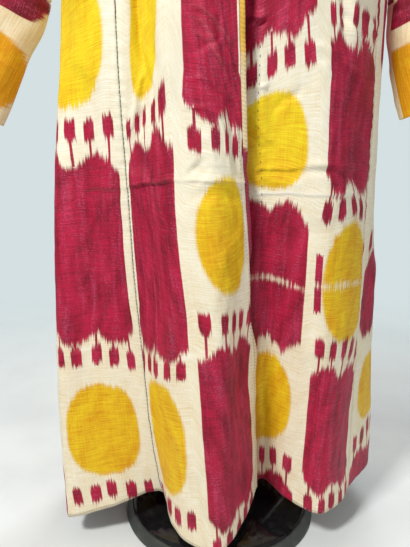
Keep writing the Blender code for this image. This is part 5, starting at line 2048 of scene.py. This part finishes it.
def make_floor():
    """A painted disc that turns clear towards its edge."""
    turns = 2 * math.pi * np.arange(FLOOR_STEPS) / FLOOR_STEPS
    ring = FLOOR_RADIUS * np.column_stack([np.cos(turns), np.sin(turns), 0 * turns])
    mesh = bpy.data.meshes.new("floor")
    mesh.from_pydata(ring.tolist(), [], [tuple(range(FLOOR_STEPS))])
    made = in_scene("floor", mesh)
    finish, tree, shader = new_material("painted floor", Roughness=0.85, Specular_IOR_Level=0.2)
    where = node(tree, "ShaderNodeTexCoord").outputs["Object"]
    reach = node(tree, "ShaderNodeVectorMath", {0: where}, operation="LENGTH").outputs[1]
    inputs = {"Vector": where, "Scale": 5.0, "Detail": 8.0}
    scuffs = node(tree, "ShaderNodeTexNoise", inputs).outputs[0]
    colour = blend(tree, cut(tree, scuffs, 0.35, 0.75), FLOOR_PALE, FLOOR_GREY)
    tree.links.new(colour, shader["Base Color"])
    tree.links.new(cut(tree, reach, FLOOR_CLEAR_AT, FLOOR_SOLID_TO), shader["Alpha"])
    mesh.materials.append(finish)
    return made


floor = make_floor()
print("floor:", floor.name, "%.1f m across" % (2 * FLOOR_RADIUS))


# %% Lights and world
ROOM_SEEN = (0.66, 0.745, 0.76, 1.0)
ROOM_LIGHT = (0.90, 0.90, 0.88, 1.0)
ROOM_LIGHT_POWER = 0.36


def soft_light(name, where, towards, size, watts, colour):
    """A square lamp that looks towards a point."""
    data = bpy.data.lights.new(name, "AREA")
    data.shape = "RECTANGLE"
    data.size = data.size_y = size
    data.energy = watts
    data.color = colour
    made = in_scene(name, data)
    made.location = where
    aim = Vector(towards) - Vector(where)
    made.rotation_euler = aim.to_track_quat("-Z", "Y").to_euler()


def make_room():
    """A pale room to look at, and a dimmer one to be lit by."""
    world = bpy.data.worlds.new("pale room")
    world.use_nodes = True
    tree = world.node_tree
    tree.nodes.clear()
    seen = node(tree, "ShaderNodeBackground", {0: ROOM_SEEN, 1: 1.0})
    light = node(tree, "ShaderNodeBackground", {0: ROOM_LIGHT, 1: ROOM_LIGHT_POWER})
    path = node(tree, "ShaderNodeLightPath").outputs["Is Camera Ray"]
    mixed = node(tree, "ShaderNodeMixShader", {0: path, 1: light.outputs[0], 2: seen.outputs[0]})
    node(tree, "ShaderNodeOutputWorld", {"Surface": mixed.outputs[0]})
    return world


soft_light("key", (-1.25, -1.6, 2.55), (0.02, 0.0, 0.6), 0.42, 76.0, (1.0, 0.99, 0.97))
soft_light("fill", (1.5, -1.9, 1.2), (0.1, 0.0, 0.5), 1.6, 17.0, (0.94, 0.97, 1.0))
soft_light("back", (0.9, 2.2, 2.3), (0.0, 0.0, 0.7), 1.2, 45.0, (0.97, 0.99, 1.0))
bpy.context.scene.world = make_room()
bpy.context.scene.view_settings.view_transform = "Standard"

print("lamps:", len(bpy.data.lights))

# %% Camera
lens = bpy.data.cameras.new("camera")
lens.lens = 36.0
lens.sensor_width = 36.0
camera = in_scene("camera", lens)
camera.location = (-0.026, -0.891, 0.657)
camera.rotation_euler = (math.radians(76.3), 0.0, 0.0)
bpy.context.scene.camera = camera
print("camera:", tuple(round(x, 3) for x in camera.location))
